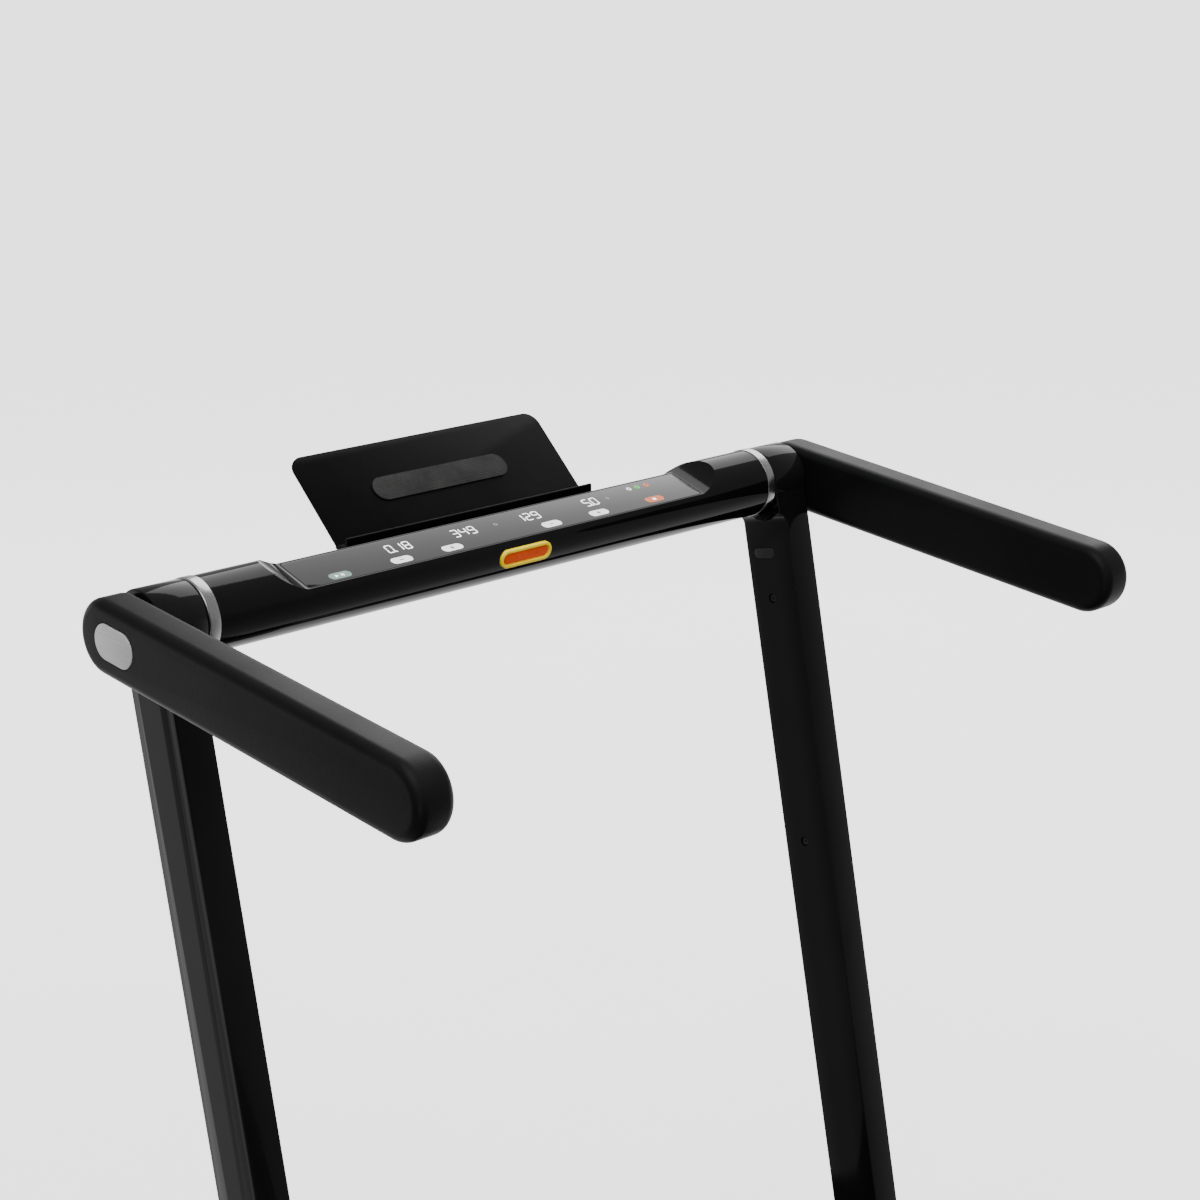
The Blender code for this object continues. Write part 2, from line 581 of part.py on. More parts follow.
# ---------------------------------------------------------------- mast pivots
plate_in = BASE_HALF_WIDTH + 0.0013
plate_out = UPRIGHT_IN - 0.0032
slot_start = math.pi / 2 - MAST_LEAN
slot_end = math.pi
stud_slot = STUD_RADIUS + RUN
stud = (PIVOT_Y + STUD_REACH * math.sin(MAST_LEAN), PIVOT_Z + STUD_REACH * math.cos(MAST_LEAN))
for label, side in SIDES:
    a, b = span(side, plate_in, plate_out)
    hub = (PIVOT_Y, PIVOT_Z)
    face = []
    for i in range(21):
        angle = math.radians(-48 + 276 * i / 20)
        face.append((hub[0] + 0.073 * math.cos(angle), hub[1] + 0.073 * math.sin(angle)))
    face += [(PIVOT_Y - 0.050, 0.032), (PIVOT_Y + 0.050, 0.032)]
    slot = []
    for i in range(13):
        angle = slot_start + (slot_end - slot_start) * i / 12
        slot.append((hub[0] + (STUD_REACH + stud_slot) * math.cos(angle),
                     hub[1] + (STUD_REACH + stud_slot) * math.sin(angle)))
    for i in range(1, 6):
        angle = slot_end + math.pi * i / 6
        slot.append((hub[0] + STUD_REACH * math.cos(slot_end) + stud_slot * math.cos(angle),
                     hub[1] + STUD_REACH * math.sin(slot_end) + stud_slot * math.sin(angle)))
    for i in range(13):
        angle = slot_end - (slot_end - slot_start) * i / 12
        slot.append((hub[0] + (STUD_REACH - stud_slot) * math.cos(angle),
                     hub[1] + (STUD_REACH - stud_slot) * math.sin(angle)))
    for i in range(1, 6):
        angle = slot_start + math.pi + math.pi * i / 6
        slot.append((hub[0] + STUD_REACH * math.cos(slot_start) + stud_slot * math.cos(angle),
                     hub[1] + STUD_REACH * math.sin(slot_start) + stud_slot * math.sin(angle)))
    hole = circle(hub, BOLT_RADIUS + RUN, 20)
    plate = prism("pivot_plate_" + label, face, 'X', a, b, "steel_black", [slot, hole])
    a, b = span(side, BEAM_OUT + GAP, plate_in + 0.001)
    join_to(plate, box("mount", a, b, PIVOT_Y - 0.048, PIVOT_Y + 0.048, 0.034, 0.078))

    tip = plate_in + 0.0004
    flange = UPRIGHT_OUT + RUN
    bolt = [(tip, BOLT_RADIUS), (flange, BOLT_RADIUS), (flange + 0.0001, 0.0135), (flange + 0.005, 0.0135),
            (flange + 0.0075, 0.011)]
    knob = [(tip + 0.0006, STUD_RADIUS), (flange, STUD_RADIUS), (flange + 0.0001, 0.012), (flange + 0.004, 0.012),
            (flange + 0.0075, 0.0185), (flange + 0.0185, 0.020), (flange + 0.0215, 0.0175)]
    if side < 0:
        bolt = [(-x, r) for x, r in reversed(bolt)]
        knob = [(-x, r) for x, r in reversed(knob)]
    turned("pivot_bolt_" + label, 'X', hub, bolt, "steel", 20)
    turned("lock_knob_" + label, 'X', stud, knob, "dark_plastic", 24, None, (side * flange, *stud))

# ================================================================ mast
# Points along an upright are given as (down from the bar axis, across), turned by the lean of the mast.
down = (-math.sin(MAST_LEAN), -math.cos(MAST_LEAN))
ahead = (math.cos(MAST_LEAN), -math.sin(MAST_LEAN))


def on_mast(along, across):
    return (BAR_Y + down[0] * along + ahead[0] * across, BAR_HEIGHT + down[1] * along + ahead[1] * across)


core_drop = 0.006
core_radius = 0.011
boss_radius = 0.010
boss_depth = 0.0135
for label, side in SIDES:
    a, b = span(side, UPRIGHT_IN, UPRIGHT_OUT)
    half = UPRIGHT_DEPTH / 2

    def tube(along, inset):
        shape = rounded(a + inset, b - inset, -half + inset, half - inset, UPRIGHT_CORNER - inset, 3)
        return [(x, *on_mast(along, across)) for x, across in shape]

    length = MAST_LENGTH + half
    upright = stack("upright_" + label, [tube(0.004, 0), tube(length, 0)], "gloss_black",
                    [tube(0.004, UPRIGHT_WALL), tube(length, UPRIGHT_WALL)], (0, PIVOT_Y, PIVOT_Z))
    near = BAR_HALF + RING_WIDTH + GAP
    head = [(near, BAR_RADIUS - 0.0015), (near + 0.0015, BAR_RADIUS), (UPRIGHT_OUT - 0.001, BAR_RADIUS),
            (UPRIGHT_OUT, BAR_RADIUS - 0.001), (UPRIGHT_OUT + 0.0001, BAR_RADIUS - COLLAR_INSET),
            (UPRIGHT_OUT + HEAD_COLLAR, BAR_RADIUS - COLLAR_INSET)]
    if side < 0:
        head = [(-x, r) for x, r in reversed(head)]
    join_to(upright, turned("head", 'X', (BAR_Y, BAR_HEIGHT), head, None, 40))
    c, d = span(side, near - 0.01, HANDRAIL_IN - boss_depth - 0.0035)
    cut_from(upright, turned("bore", 'X', (BAR_Y, BAR_HEIGHT - core_drop), [(c, core_radius + GAP), (d, core_radius + GAP)],
                             None, 20))
    c, d = span(side, HANDRAIL_IN - boss_depth - 0.0008, HANDRAIL_IN + 0.01)
    cut_from(upright, turned("bore", 'X', (BAR_Y, BAR_HEIGHT), [(c, boss_radius + RUN), (d, boss_radius + RUN)], None, 20))
    c, d = span(side, UPRIGHT_IN - 0.01, UPRIGHT_OUT + 0.01)
    cut_from(upright, turned("hole", 'X', (PIVOT_Y, PIVOT_Z), [(c, BOLT_RADIUS + RUN), (d, BOLT_RADIUS + RUN)], None, 20))
    cut_from(upright, turned("hole", 'X', stud, [(c, STUD_RADIUS + RUN), (d, STUD_RADIUS + RUN)], None, 16))

    ring = [(BAR_HALF + 0.0003, RING_RADIUS - 0.0006), (BAR_HALF + 0.0009, RING_RADIUS),
            (BAR_HALF + RING_WIDTH - 0.0016, RING_RADIUS), (BAR_HALF + RING_WIDTH, RING_RADIUS - 0.0016)]
    if side < 0:
        ring = [(-x, r) for x, r in reversed(ring)]
    turned("trim_ring_" + label, 'X', (BAR_Y, BAR_HEIGHT), ring, "aluminium", 40, 0.0195)

    # handrail: a long rounded grip with softened edges and a short boss into the mast head
    slope = (-math.cos(HANDRAIL_SLOPE), -math.sin(HANDRAIL_SLOPE))
    far_end = (BAR_Y + slope[0] * HANDRAIL_REACH, BAR_HEIGHT + slope[1] * HANDRAIL_REACH)
    rings = []
    grip_radius = HANDRAIL_WIDTH / 2
    fillet = HANDRAIL_FILLET
    for i in range(4):
        turn = math.radians(90 * i / 3)
        rings.append((fillet * (1 - math.sin(turn)), fillet * (1 - math.cos(turn))))
    stations = [(HANDRAIL_IN + depth, inset) for inset, depth in rings]
    stations += [(HANDRAIL_IN + HANDRAIL_THICK - depth, inset) for inset, depth in reversed(rings)]
    loops = []
    for x, inset in stations:
        outline = stadium((BAR_Y, BAR_HEIGHT), far_end, grip_radius - inset, 10)
        loops.append([place('X', side * x, p) for p in outline])
    solid = Solid()
    for first, second in zip(loops, loops[1:]):
        solid.wall(first, second)
    boss = [place('X', side * HANDRAIL_IN, p) for p in circle((BAR_Y, BAR_HEIGHT), boss_radius, 20)]
    boss_tip = [place('X', side * (HANDRAIL_IN - boss_depth), p) for p in circle((BAR_Y, BAR_HEIGHT), boss_radius, 20)]
    solid.cap([loops[0], boss])
    solid.wall(boss, boss_tip)
    solid.cap([boss_tip])
    solid.cap([loops[-1]])
    finish("handrail_" + label, solid, "satin_black", (side * HANDRAIL_IN, BAR_Y, BAR_HEIGHT))
    badge_from = (BAR_Y + slope[0] * 0.0085, BAR_HEIGHT + slope[1] * 0.0085)
    badge_to = (BAR_Y + slope[0] * 0.0305, BAR_HEIGHT + slope[1] * 0.0305)
    outer_face = HANDRAIL_IN + HANDRAIL_THICK
    c, d = span(side, outer_face + 0.0002, outer_face + 0.0010)
    prism("badge_" + label, stadium(badge_from, badge_to, 0.0150, 8), 'X', c, d, "silver_badge")

# ---------------------------------------------------------------- console bar
panel_run = (math.cos(PANEL_TILT), math.sin(PANEL_TILT))
panel_up = (-math.sin(PANEL_TILT), math.cos(PANEL_TILT))
panel_width = 2 * HALF_CHORD - PANEL_BACK


def on_panel(run, rise):
    """A point of the bar section: run from the near panel edge, rise above the panel face."""
    return (PANEL_NEAR[0] + panel_run[0] * run + panel_up[0] * rise,
            PANEL_NEAR[1] + panel_run[1] * run + panel_up[1] * rise)


def polar(degrees, radius):
    """Angle from the user side, upward positive."""
    angle = math.radians(degrees)
    return (-radius * math.cos(angle), radius * math.sin(angle))


near_angle = math.degrees(math.atan2(PANEL_NEAR[1], -PANEL_NEAR[0]))
BACK_ANGLE = 158.0
TOP_START = SEAM_ANGLE
TOP_END = 180.0 - SEAM_ANGLE
FRONT_STEPS = 5
FACE_STEPS = 9
BACK_STEPS = 6


def lerp(a, b, t):
    return a + (b - a) * t


def shell_section(flat, pocket):
    """Outer points of the top shell; flat goes from 0 (round) to 1 (cut), pocket lowers the glass seat."""
    points = []
    for i in range(FRONT_STEPS + 1):
        points.append(polar(lerp(TOP_START, near_angle, i / FRONT_STEPS), BAR_RADIUS))
    rim = 0.0010
    runs = [rim, rim + 0.0002]
    runs += [lerp(rim + 0.0002, panel_width - rim - 0.0002, (i + 1) / (FACE_STEPS - 3)) for i in range(FACE_STEPS - 3)]
    runs += [panel_width - rim]
    for number, run in enumerate(runs):
        depth = pocket if 0 < number < len(runs) - 1 else 0.0
        cut = on_panel(run, -depth)
        share = run / panel_width
        round_angle = lerp(near_angle, BACK_ANGLE - 24, share)
        full = polar(round_angle, BAR_RADIUS)
        points.append((lerp(full[0], cut[0], flat), lerp(full[1], cut[1], flat)))
    full = polar(BACK_ANGLE - 24, BAR_RADIUS)
    points.append((lerp(full[0], PANEL_FAR[0], flat), lerp(full[1], PANEL_FAR[1], flat)))
    full = polar(BACK_ANGLE - 12, BAR_RADIUS)
    ease = polar(BACK_ANGLE - 18, BAR_RADIUS - BACK_DROP)
    points.append((lerp(full[0], ease[0], flat), lerp(full[1], ease[1], flat)))
    for i in range(BACK_STEPS + 1):
        points.append(polar(lerp(BACK_ANGLE, TOP_END, i / BACK_STEPS), BAR_RADIUS))
    return points


def inner_section(flat):
    """Inner points of the top shell, in the opposite order."""
    radius = BAR_RADIUS - BAR_WALL
    low_near = polar(8.0, radius)
    points = []
    for i in range(BACK_STEPS + 1):
        points.append(polar(lerp(TOP_END, 165.0, i / BACK_STEPS), radius))
    for i in range(1, 9):
        t = i / 9
        full = polar(lerp(165.0, 8.0, t), radius)
        start = polar(165.0, radius)
        straight = (lerp(start[0], low_near[0], t), lerp(start[1], low_near[1], t))
        top = (straight[0], min(full[1], max(straight[1], PANEL_NEAR[1] + (straight[0] - PANEL_NEAR[0]) *
                                             math.tan(PANEL_TILT) - 0.0048)))
        points.append((lerp(full[0], top[0], flat), lerp(full[1], top[1], flat)))
    for i in range(4):
        points.append(polar(lerp(8.0, TOP_START, i / 3), radius))
    return points


shell_stations = [(-BAR_HALF, 0.0, 0.0)]
scoop = [0.0, 0.06, 0.22, 0.5, 0.78, 0.94, 1.0]
for i, amount in enumerate(scoop):
    shell_stations.append((-lerp(SCOOP_END, PANEL_HALF, i / 6), amount, 0.0))
POCKET = GLASS_THICK + GAP
glass_half = PANEL_HALF - 0.0008
shell_stations += [(-glass_half - 0.0003, 1.0, 0.0), (-glass_half, 1.0, POCKET)]
middle = [(x, f, p) for x, f, p in shell_stations]
shell_stations += [(-x, f, p) for x, f, p in reversed(middle)]

solid = Solid()
sections = []
for x, flat, pocket in shell_stations:
    outline = shell_section(flat, pocket) + inner_section(1.0 if abs(x) < SCOOP_END + 0.001 else 0.0)
    sections.append([place('X', x, (BAR_Y + p[0], BAR_HEIGHT + p[1])) for p in outline])
for first, second in zip(sections, sections[1:]):
    solid.wall(first, second)
solid.cap([sections[0]])
solid.cap([sections[-1]])
shell = finish("console_shell", solid, "gloss_black")

# hinge ears behind the bar
for label, side in SIDES:
    a, b = span(side, PLATE_HALF + 0.001, PLATE_HALF + 0.012)
    outline = stadium((HINGE[0] - 0.0095, HINGE[1]), HINGE, 0.0050, 8)
    ear = prism("ear", [(BAR_Y + y, BAR_HEIGHT + z) for y, z in outline], 'X', a, b)
    join_to(shell, ear)
    cut_from(shell, turned("hole", 'X', (BAR_Y + HINGE[0], BAR_HEIGHT + HINGE[1]), [(a - 0.01, 0.0028), (b + 0.01, 0.0028)],
                           None, 16))
hinge_half = PLATE_HALF + 0.0135
turned("hinge_pin", 'X', (BAR_Y + HINGE[0], BAR_HEIGHT + HINGE[1]), [(-hinge_half, 0.0025), (hinge_half, 0.0025)],
       "steel", 16)

# round stop pad in a slot-shaped rim on the user side
STOP_ANGLE = -9.4
STOP_X = 0.0046
stop_out = (-math.cos(math.radians(STOP_ANGLE)), math.sin(math.radians(STOP_ANGLE)))
stop_side = (math.sin(math.radians(STOP_ANGLE)), math.cos(math.radians(STOP_ANGLE)))


def stop_loop(half_length, radius, proud):
    """A slot outline on the bar's user side; proud is its height above the round of the bar."""
    height = BAR_RADIUS + proud
    shape = stadium((-half_length + radius, 0), (half_length - radius, 0), radius, 8)
    return [(STOP_X + u, BAR_Y + stop_out[0] * height + stop_side[0] * v,
             BAR_HEIGHT + stop_out[1] * height + stop_side[1] * v) for u, v in shape]


cut_from(shell, stack("window", [stop_loop(0.0303, 0.0088, -0.0105), stop_loop(0.0303, 0.0088, 0.0075)]))
stack("stop_rim", [stop_loop(0.0300, 0.0085, -0.0065), stop_loop(0.0300, 0.0085, 0.0015),
                   stop_loop(0.0293, 0.0078, 0.0022)], "yellow",
      [stop_loop(0.0262, 0.0047, -0.0065), stop_loop(0.0262, 0.0047, 0.0012), stop_loop(0.0270, 0.0055, 0.0022)])
pad_base = BAR_RADIUS - 0.0075
stop_centre = (STOP_X, BAR_Y + stop_out[0] * pad_base, BAR_HEIGHT + stop_out[1] * pad_base)
stack("stop_pad", [stop_loop(0.0258, 0.0043, -0.0075), stop_loop(0.0258, 0.0043, 0.0005),
                   stop_loop(0.0252, 0.0037, 0.0011)], "orange", None, stop_centre)

# lower cover of the bar, a plain curved skin
cover = []
steps = 14
for i in range(steps + 1):
    angle = lerp(TOP_END + 0.7, 360 + TOP_START - 0.7, i / steps)
    cover.append(polar(angle, BAR_RADIUS))
for i in range(steps + 1):
    angle = lerp(360 + TOP_START - 0.7, TOP_END + 0.7, i / steps)
    cover.append(polar(angle, BAR_RADIUS - BAR_WALL))
prism("console_cover", [(BAR_Y + y, BAR_HEIGHT + z) for y, z in cover], 'X', -BAR_HALF, BAR_HALF, "gloss_black")

core_half = HANDRAIL_IN - boss_depth - 0.0040
turned("core_tube", 'X', (BAR_Y, BAR_HEIGHT - core_drop), [(-core_half, core_radius), (core_half, core_radius)],
       "steel", 20, core_radius - 0.002)

# glass over the flat face and the circuit board below it
edge = 0.0013
glass_section = [on_panel(edge, 0.0), on_panel(panel_width - edge, 0.0),
                 on_panel(panel_width - edge, -GLASS_THICK), on_panel(edge, -GLASS_THICK)]
seat = [(BAR_Y + y, BAR_HEIGHT + z) for y, z in glass_section]
prism("display_glass", seat, 'X', -glass_half + 0.0004, glass_half - 0.0004, "glass")
board_section = [on_panel(0.0120, -0.0056), on_panel(0.0370, -0.0056), on_panel(0.0370, -0.0072),
                 on_panel(0.0120, -0.0072)]
prism("display_board", [(BAR_Y + y, BAR_HEIGHT + z) for y, z in board_section], 'X', -0.200, 0.200, "green_board")

# ---------------------------------------------------------------- tablet plate
plate_run = (math.sin(PLATE_LEAN), math.cos(PLATE_LEAN))
plate_back = (math.cos(PLATE_LEAN), -math.sin(PLATE_LEAN))
hinge_at = (0, BAR_Y + HINGE[0], BAR_HEIGHT + HINGE[1])


def on_plate(x, run, back):
    return (x, BAR_Y + PLATE_FOOT[0] + plate_run[0] * run + plate_back[0] * back,
            BAR_HEIGHT + PLATE_FOOT[1] + plate_run[1] * run + plate_back[1] * back)


corner = 0.014
outline = [(-PLATE_HALF, -0.0005), (PLATE_HALF, -0.0005)]
for i in range(7):
    angle = math.radians(15 * i)
    outline.append((PLATE_HALF - corner + corner * math.cos(angle), PLATE_HEIGHT - corner + corner * math.sin(angle)))
for i in range(7):
    angle = math.radians(90 + 15 * i)
    outline.append((-PLATE_HALF + corner + corner * math.cos(angle), PLATE_HEIGHT - corner + corner * math.sin(angle)))
plate = stack("tablet_plate", [[on_plate(x, run, 0.0) for x, run in outline],
                               [on_plate(x, run, PLATE_THICK) for x, run in outline]], "satin_black", None, hinge_at)
# the ledge's section, from the hinge axis
ledge = [(-0.0093, 0.0040), (0.0070, 0.0040), (0.0070, 0.0075), (-0.0065, 0.0075), (-0.0065, 0.0153),
         (-0.0079, 0.0160), (-0.0093, 0.0153)]
join_to(plate, prism("ledge", [(hinge_at[1] + y, hinge_at[2] + z) for y, z in ledge], 'X', -PLATE_HALF, PLATE_HALF))
knuckle = stack("knuckle", [[place('X', x, (BAR_Y + HINGE[0] + 0.0054 * math.cos(t), BAR_HEIGHT + HINGE[1] + 0.0054 *
                                           math.sin(t))) for t in [math.tau * k / 20 for k in range(20)]]
                            for x in (-PLATE_HALF + 0.001, PLATE_HALF - 0.001)])
join_to(plate, knuckle)
cut_from(plate, turned("hole", 'X', (BAR_Y + HINGE[0], BAR_HEIGHT + HINGE[1]),
                       [(-PLATE_HALF - 0.01, 0.0025 + RUN), (PLATE_HALF + 0.01, 0.0025 + RUN)], None, 16))
pad_shape = stadium((-0.078 + 0.01235, 0.0457), (0.078 - 0.01235, 0.0457), 0.01235, 8)
stack("tablet_pad", [[on_plate(x, run, -0.0003) for x, run in pad_shape],
                     [on_plate(x, run, -0.0013) for x, run in pad_shape]], "grey_pad")
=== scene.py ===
import json
from math import atan2, cos, degrees, hypot, pi, radians, sin, sqrt, tau

import bpy
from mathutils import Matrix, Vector


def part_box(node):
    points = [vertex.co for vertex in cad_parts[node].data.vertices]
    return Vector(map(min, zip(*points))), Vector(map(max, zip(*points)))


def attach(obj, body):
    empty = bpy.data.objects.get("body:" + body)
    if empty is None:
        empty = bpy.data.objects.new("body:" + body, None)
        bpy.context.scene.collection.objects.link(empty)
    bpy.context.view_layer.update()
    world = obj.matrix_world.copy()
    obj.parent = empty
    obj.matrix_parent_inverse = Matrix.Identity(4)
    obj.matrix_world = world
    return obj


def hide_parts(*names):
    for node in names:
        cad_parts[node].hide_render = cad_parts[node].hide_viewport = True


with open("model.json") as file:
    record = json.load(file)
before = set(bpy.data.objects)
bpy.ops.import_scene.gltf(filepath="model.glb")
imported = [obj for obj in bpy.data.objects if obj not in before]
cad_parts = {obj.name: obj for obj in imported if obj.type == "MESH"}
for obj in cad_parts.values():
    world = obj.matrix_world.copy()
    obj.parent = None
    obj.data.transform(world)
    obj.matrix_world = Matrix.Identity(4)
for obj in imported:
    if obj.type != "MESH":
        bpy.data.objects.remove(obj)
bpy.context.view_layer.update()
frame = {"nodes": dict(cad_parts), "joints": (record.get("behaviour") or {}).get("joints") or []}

nodes = frame["nodes"]
joints = {joint["name"]: joint for joint in frame["joints"]}
SIDES = (("left", -1), ("right", 1))

# -------- places, from the frame
BAR_Y, BAR_Z = BAR = joints["handrail_left_fold"]["pos_m"][1:]
PIVOT_Y, PIVOT_Z = PIVOT = joints["mast_fold"]["pos_m"][1:]
HINGE_Y, HINGE_Z = HINGE = joints["tablet_fold"]["pos_m"][1:]
STUD_Y, STUD_Z = STUD = joints["lock_knob_left_turn"]["pos_m"][1:]
LEAN = atan2(BAR_Y - PIVOT_Y, BAR_Z - PIVOT_Z)
MAST_LENGTH = hypot(BAR_Y - PIVOT_Y, BAR_Z - PIVOT_Z)
BAR_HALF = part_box("console_cover")[1].x
BAR_RADIUS = BAR_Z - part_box("console_cover")[0].z
RING_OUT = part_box("trim_ring_right")[1].x
BASE_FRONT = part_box("hood_top")[1].y
HOOD_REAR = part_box("hood_top")[0].y
SIDE_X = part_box("side_rail_right")[1].x
RAIL_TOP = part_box("side_rail_right")[1].z
HOOD_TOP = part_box("hood_top")[1].z

# -------- sizes of the finer pieces
BAR_WALL = 0.003
SEAM = 33.0                       # casing seam, degrees below the bar's middle on both sides
FACE_TILT = radians(16.71)   # the display face rises away from the user
FACE_LEVEL = 0.01882              # the face's distance from the bar axis
FACE_WIDTH = 0.0452
FACE_HALF = 0.233
SCOOP = 0.082                     # radius of the hollow at each end of the face
SCOOP_START = 14                  # degrees; the hollow meets the face at a slight crease
SCOOP_REACH = 0.03
HALF_CHORD = sqrt(BAR_RADIUS ** 2 - FACE_LEVEL ** 2)
GLASS = 0.0018

ARM_IN = 0.3445
ARM_OUT = 0.3765
ARM_DEPTH = 0.0593
GRIP_IN = 0.3785
GRIP_THICK = 0.0352
GRIP_RADIUS = 0.0316
GRIP_REACH = 0.3611
GRIP_SLOPE = radians(5.4)

PLATE_HALF = 0.145
PLATE_HEIGHT = 0.095
PLATE_THICK = 0.003
PLATE_LEAN = radians(46.5)

WEAVE_TURN = 0.785

FLOOR_GLOW = 2.3
LENS = 72.4528
CAMERA_FROM_BAR = Vector((-1.37214, -1.57434, 0.56942))
CAMERA_DOWN = 0.2901226
CAMERA_RIGHT = 0.7607707


# ======== modelling helpers
def pick(piece):
    """Makes the piece the only selected one and the active one."""
    if bpy.context.mode != 'OBJECT':
        bpy.ops.object.mode_set(mode='OBJECT')
    bpy.ops.object.select_all(action='DESELECT')
    if piece:
        piece.select_set(True)
        bpy.context.view_layer.objects.active = piece


def place(axis, along, point):
    """Puts a 2-D outline point on the plane across the given axis."""
    if axis == 'X':
        return (along, point[0], point[1])
    if axis == 'Y':
        return (point[0], along, point[1])
    return (point[0], point[1], along)


def arc(centre, radius, start, end, steps):
    """Points of an arc, angles in degrees, counter-clockwise when end is past start."""
    out = []
    for i in range(steps + 1):
        angle = radians(start + (end - start) * i / steps)
        out.append((centre[0] + radius * cos(angle), centre[1] + radius * sin(angle)))
    return out


def pill(first, second, radius, steps=16):
    """A slot outline around the line from first to second."""
    aim = degrees(atan2(second[1] - first[1], second[0] - first[0]))
    return arc(second, radius, aim - 90, aim + 90, steps) + arc(first, radius, aim + 90, aim + 270, steps)


def rounded(x0, x1, y0, y1, radius, steps=6):
    """A rectangle outline with round corners."""
    out = []
    for turn, x, y in ((0, x1 - radius, y1 - radius), (90, x0 + radius, y1 - radius), (180, x0 + radius, y0 + radius),
                       (270, x1 - radius, y0 + radius)):
        out += arc((x, y), radius, turn, turn + 90, steps)
    return out


def curve_through(points, steps=6):
    """A smooth line through the given points."""
    out = []
    last = len(points) - 1
    for i in range(last):
        before = points[max(i - 1, 0)]
        after = points[min(i + 2, last)]
        start, end = points[i], points[i + 1]
        for k in range(steps):
            t = k / steps
            out.append(tuple(0.5 * (2 * start[c] + (end[c] - before[c]) * t
                                    + (2 * before[c] - 5 * start[c] + 4 * end[c] - after[c]) * t ** 2
                                    + (3 * start[c] - 3 * end[c] + after[c] - before[c]) * t ** 3) for c in (0, 1)))
    out.append(points[-1])
    return out


def start_edit():
    bpy.ops.object.mode_set(mode='EDIT')
    bpy.ops.mesh.select_all(action='SELECT')


def end_edit(piece):
    """Turns all faces outwards and leaves edit mode."""
    bpy.ops.mesh.select_all(action='SELECT')
    bpy.ops.mesh.normals_make_consistent(inside=False)
    bpy.ops.object.mode_set(mode='OBJECT')
    return piece


def flat_face(name, corners, fill='NGON'):
    """One flat face, or a loop of edges, with the given corners."""
    pick(None)
    bpy.ops.mesh.primitive_circle_add(vertices=len(corners), radius=1, fill_type=fill)
    piece = bpy.context.object
    piece.name = name
    for vertex, corner in zip(piece.data.vertices, corners):
        vertex.co = corner
    piece.data.update()
    return piece


def pull(piece, move):
    """Extrudes a flat face into a closed solid."""
    pick(piece)
    start_edit()
    bpy.ops.mesh.extrude_region_move(TRANSFORM_OT_translate={"value": move})
    return end_edit(piece)


def slab(name, axis, outline, start, end):
    """An outline pulled along an axis."""
    piece = flat_face(name, [place(axis, start, point) for point in outline])
    return pull(piece, place(axis, end - start, (0, 0)))


def plate_of(name, spot, outline, low, high):
    """An outline on a slanted plane, pulled across it; spot turns (x, run, height) into a place."""
    piece = flat_face(name, [spot(x, run, low) for x, run in outline])
    return pull(piece, Vector(spot(0, 0, high)) - Vector(spot(0, 0, low)))


UPRIGHT_TURN = {'X': (0, pi / 2, 0), 'Y': (-pi / 2, 0, 0), 'Z': (0, 0, 0)}


def turned(name, axis, centre, profile, count=64):
    """A turned solid: profile is a list of (along, radius), closed at both ends."""
    pick(None)
    along, radius = profile[0]
    bpy.ops.mesh.primitive_circle_add(vertices=count, radius=radius, fill_type='NGON',
                                      location=place(axis, along, centre), rotation=UPRIGHT_TURN[axis])
    piece = bpy.context.object
    piece.name = name
    bpy.ops.object.transform_apply(location=True, rotation=True, scale=True)
    start_edit()
    for next_along, next_radius in profile[1:]:
        step = place(axis, next_along - along, (0, 0))
        bpy.ops.mesh.extrude_region_move(TRANSFORM_OT_translate={"value": step})
        size = next_radius / radius
        bpy.ops.transform.resize(value=place(axis, 1, (size, size)), center_override=place(axis, next_along, centre))
        along, radius = next_along, next_radius
    return end_edit(piece)


def spun(name, axis, centre, profile, count=96):
    """A ring: a closed profile of (along, radius) spun about the axis."""
    corners = [place(axis, along, (centre[0] + radius, centre[1])) for along, radius in profile]
    piece = flat_face(name, corners, 'NOTHING')
    start_edit()
    bpy.ops.mesh.spin(steps=count, angle=tau, center=place(axis, 0, centre), axis=place(axis, 1, (0, 0)))
    bpy.ops.mesh.select_all(action='SELECT')
    bpy.ops.mesh.remove_doubles(threshold=0.000005)
    return end_edit(piece)


def soften(piece, width, segments=3, angle=35):
    """Rounds every edge sharper than the angle."""
    pick(piece)
    modifier = piece.modifiers.new("round", 'BEVEL')
    modifier.width = width
    modifier.segments = segments
    modifier.limit_method = 'ANGLE'
    modifier.angle_limit = radians(angle)
    bpy.ops.object.modifier_apply(modifier=modifier.name)
    return piece


def combine(piece, others, operation):
    for other in others:
        pick(piece)
        modifier = piece.modifiers.new("joint", 'BOOLEAN')
        modifier.operation = operation
        modifier.solver = 'EXACT'
        modifier.object = other
        bpy.ops.object.modifier_apply(modifier=modifier.name)
        bpy.data.objects.remove(other, do_unlink=True)
    return piece


def carve(piece, *cutters):
    return combine(piece, cutters, 'DIFFERENCE')


def weld(piece, *others):
    return combine(piece, others, 'UNION')


def cut(piece, axis, outline, start, end):
    """Cuts an outline out of a piece, along an axis."""
    return carve(piece, slab("cut", axis, outline, start, end))


def press(piece, spot, outline, low, high):
    """Cuts an outline on a slanted plane out of a piece."""
    return carve(piece, plate_of("cut", spot, outline, low, high))


def drill(piece, axis, centre, start, end, radius, count):
    """Cuts a round hole, or a key socket when the count is six."""
    return carve(piece, turned("hole", axis, centre, [(start, radius), (end, radius)], count))


def mm(*points):
    """Outline points given in millimetres."""
    return [(x / 1000, y / 1000) for x, y in points]


def stepped(start, side, *steps):
    """Turning points in millimetres, counted outwards from a start on one side of the machine."""
    return [(start + side * along, radius) for along, radius in mm(*steps)]


def centre_of(name):
    low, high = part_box(name)
    return (low + high) / 2


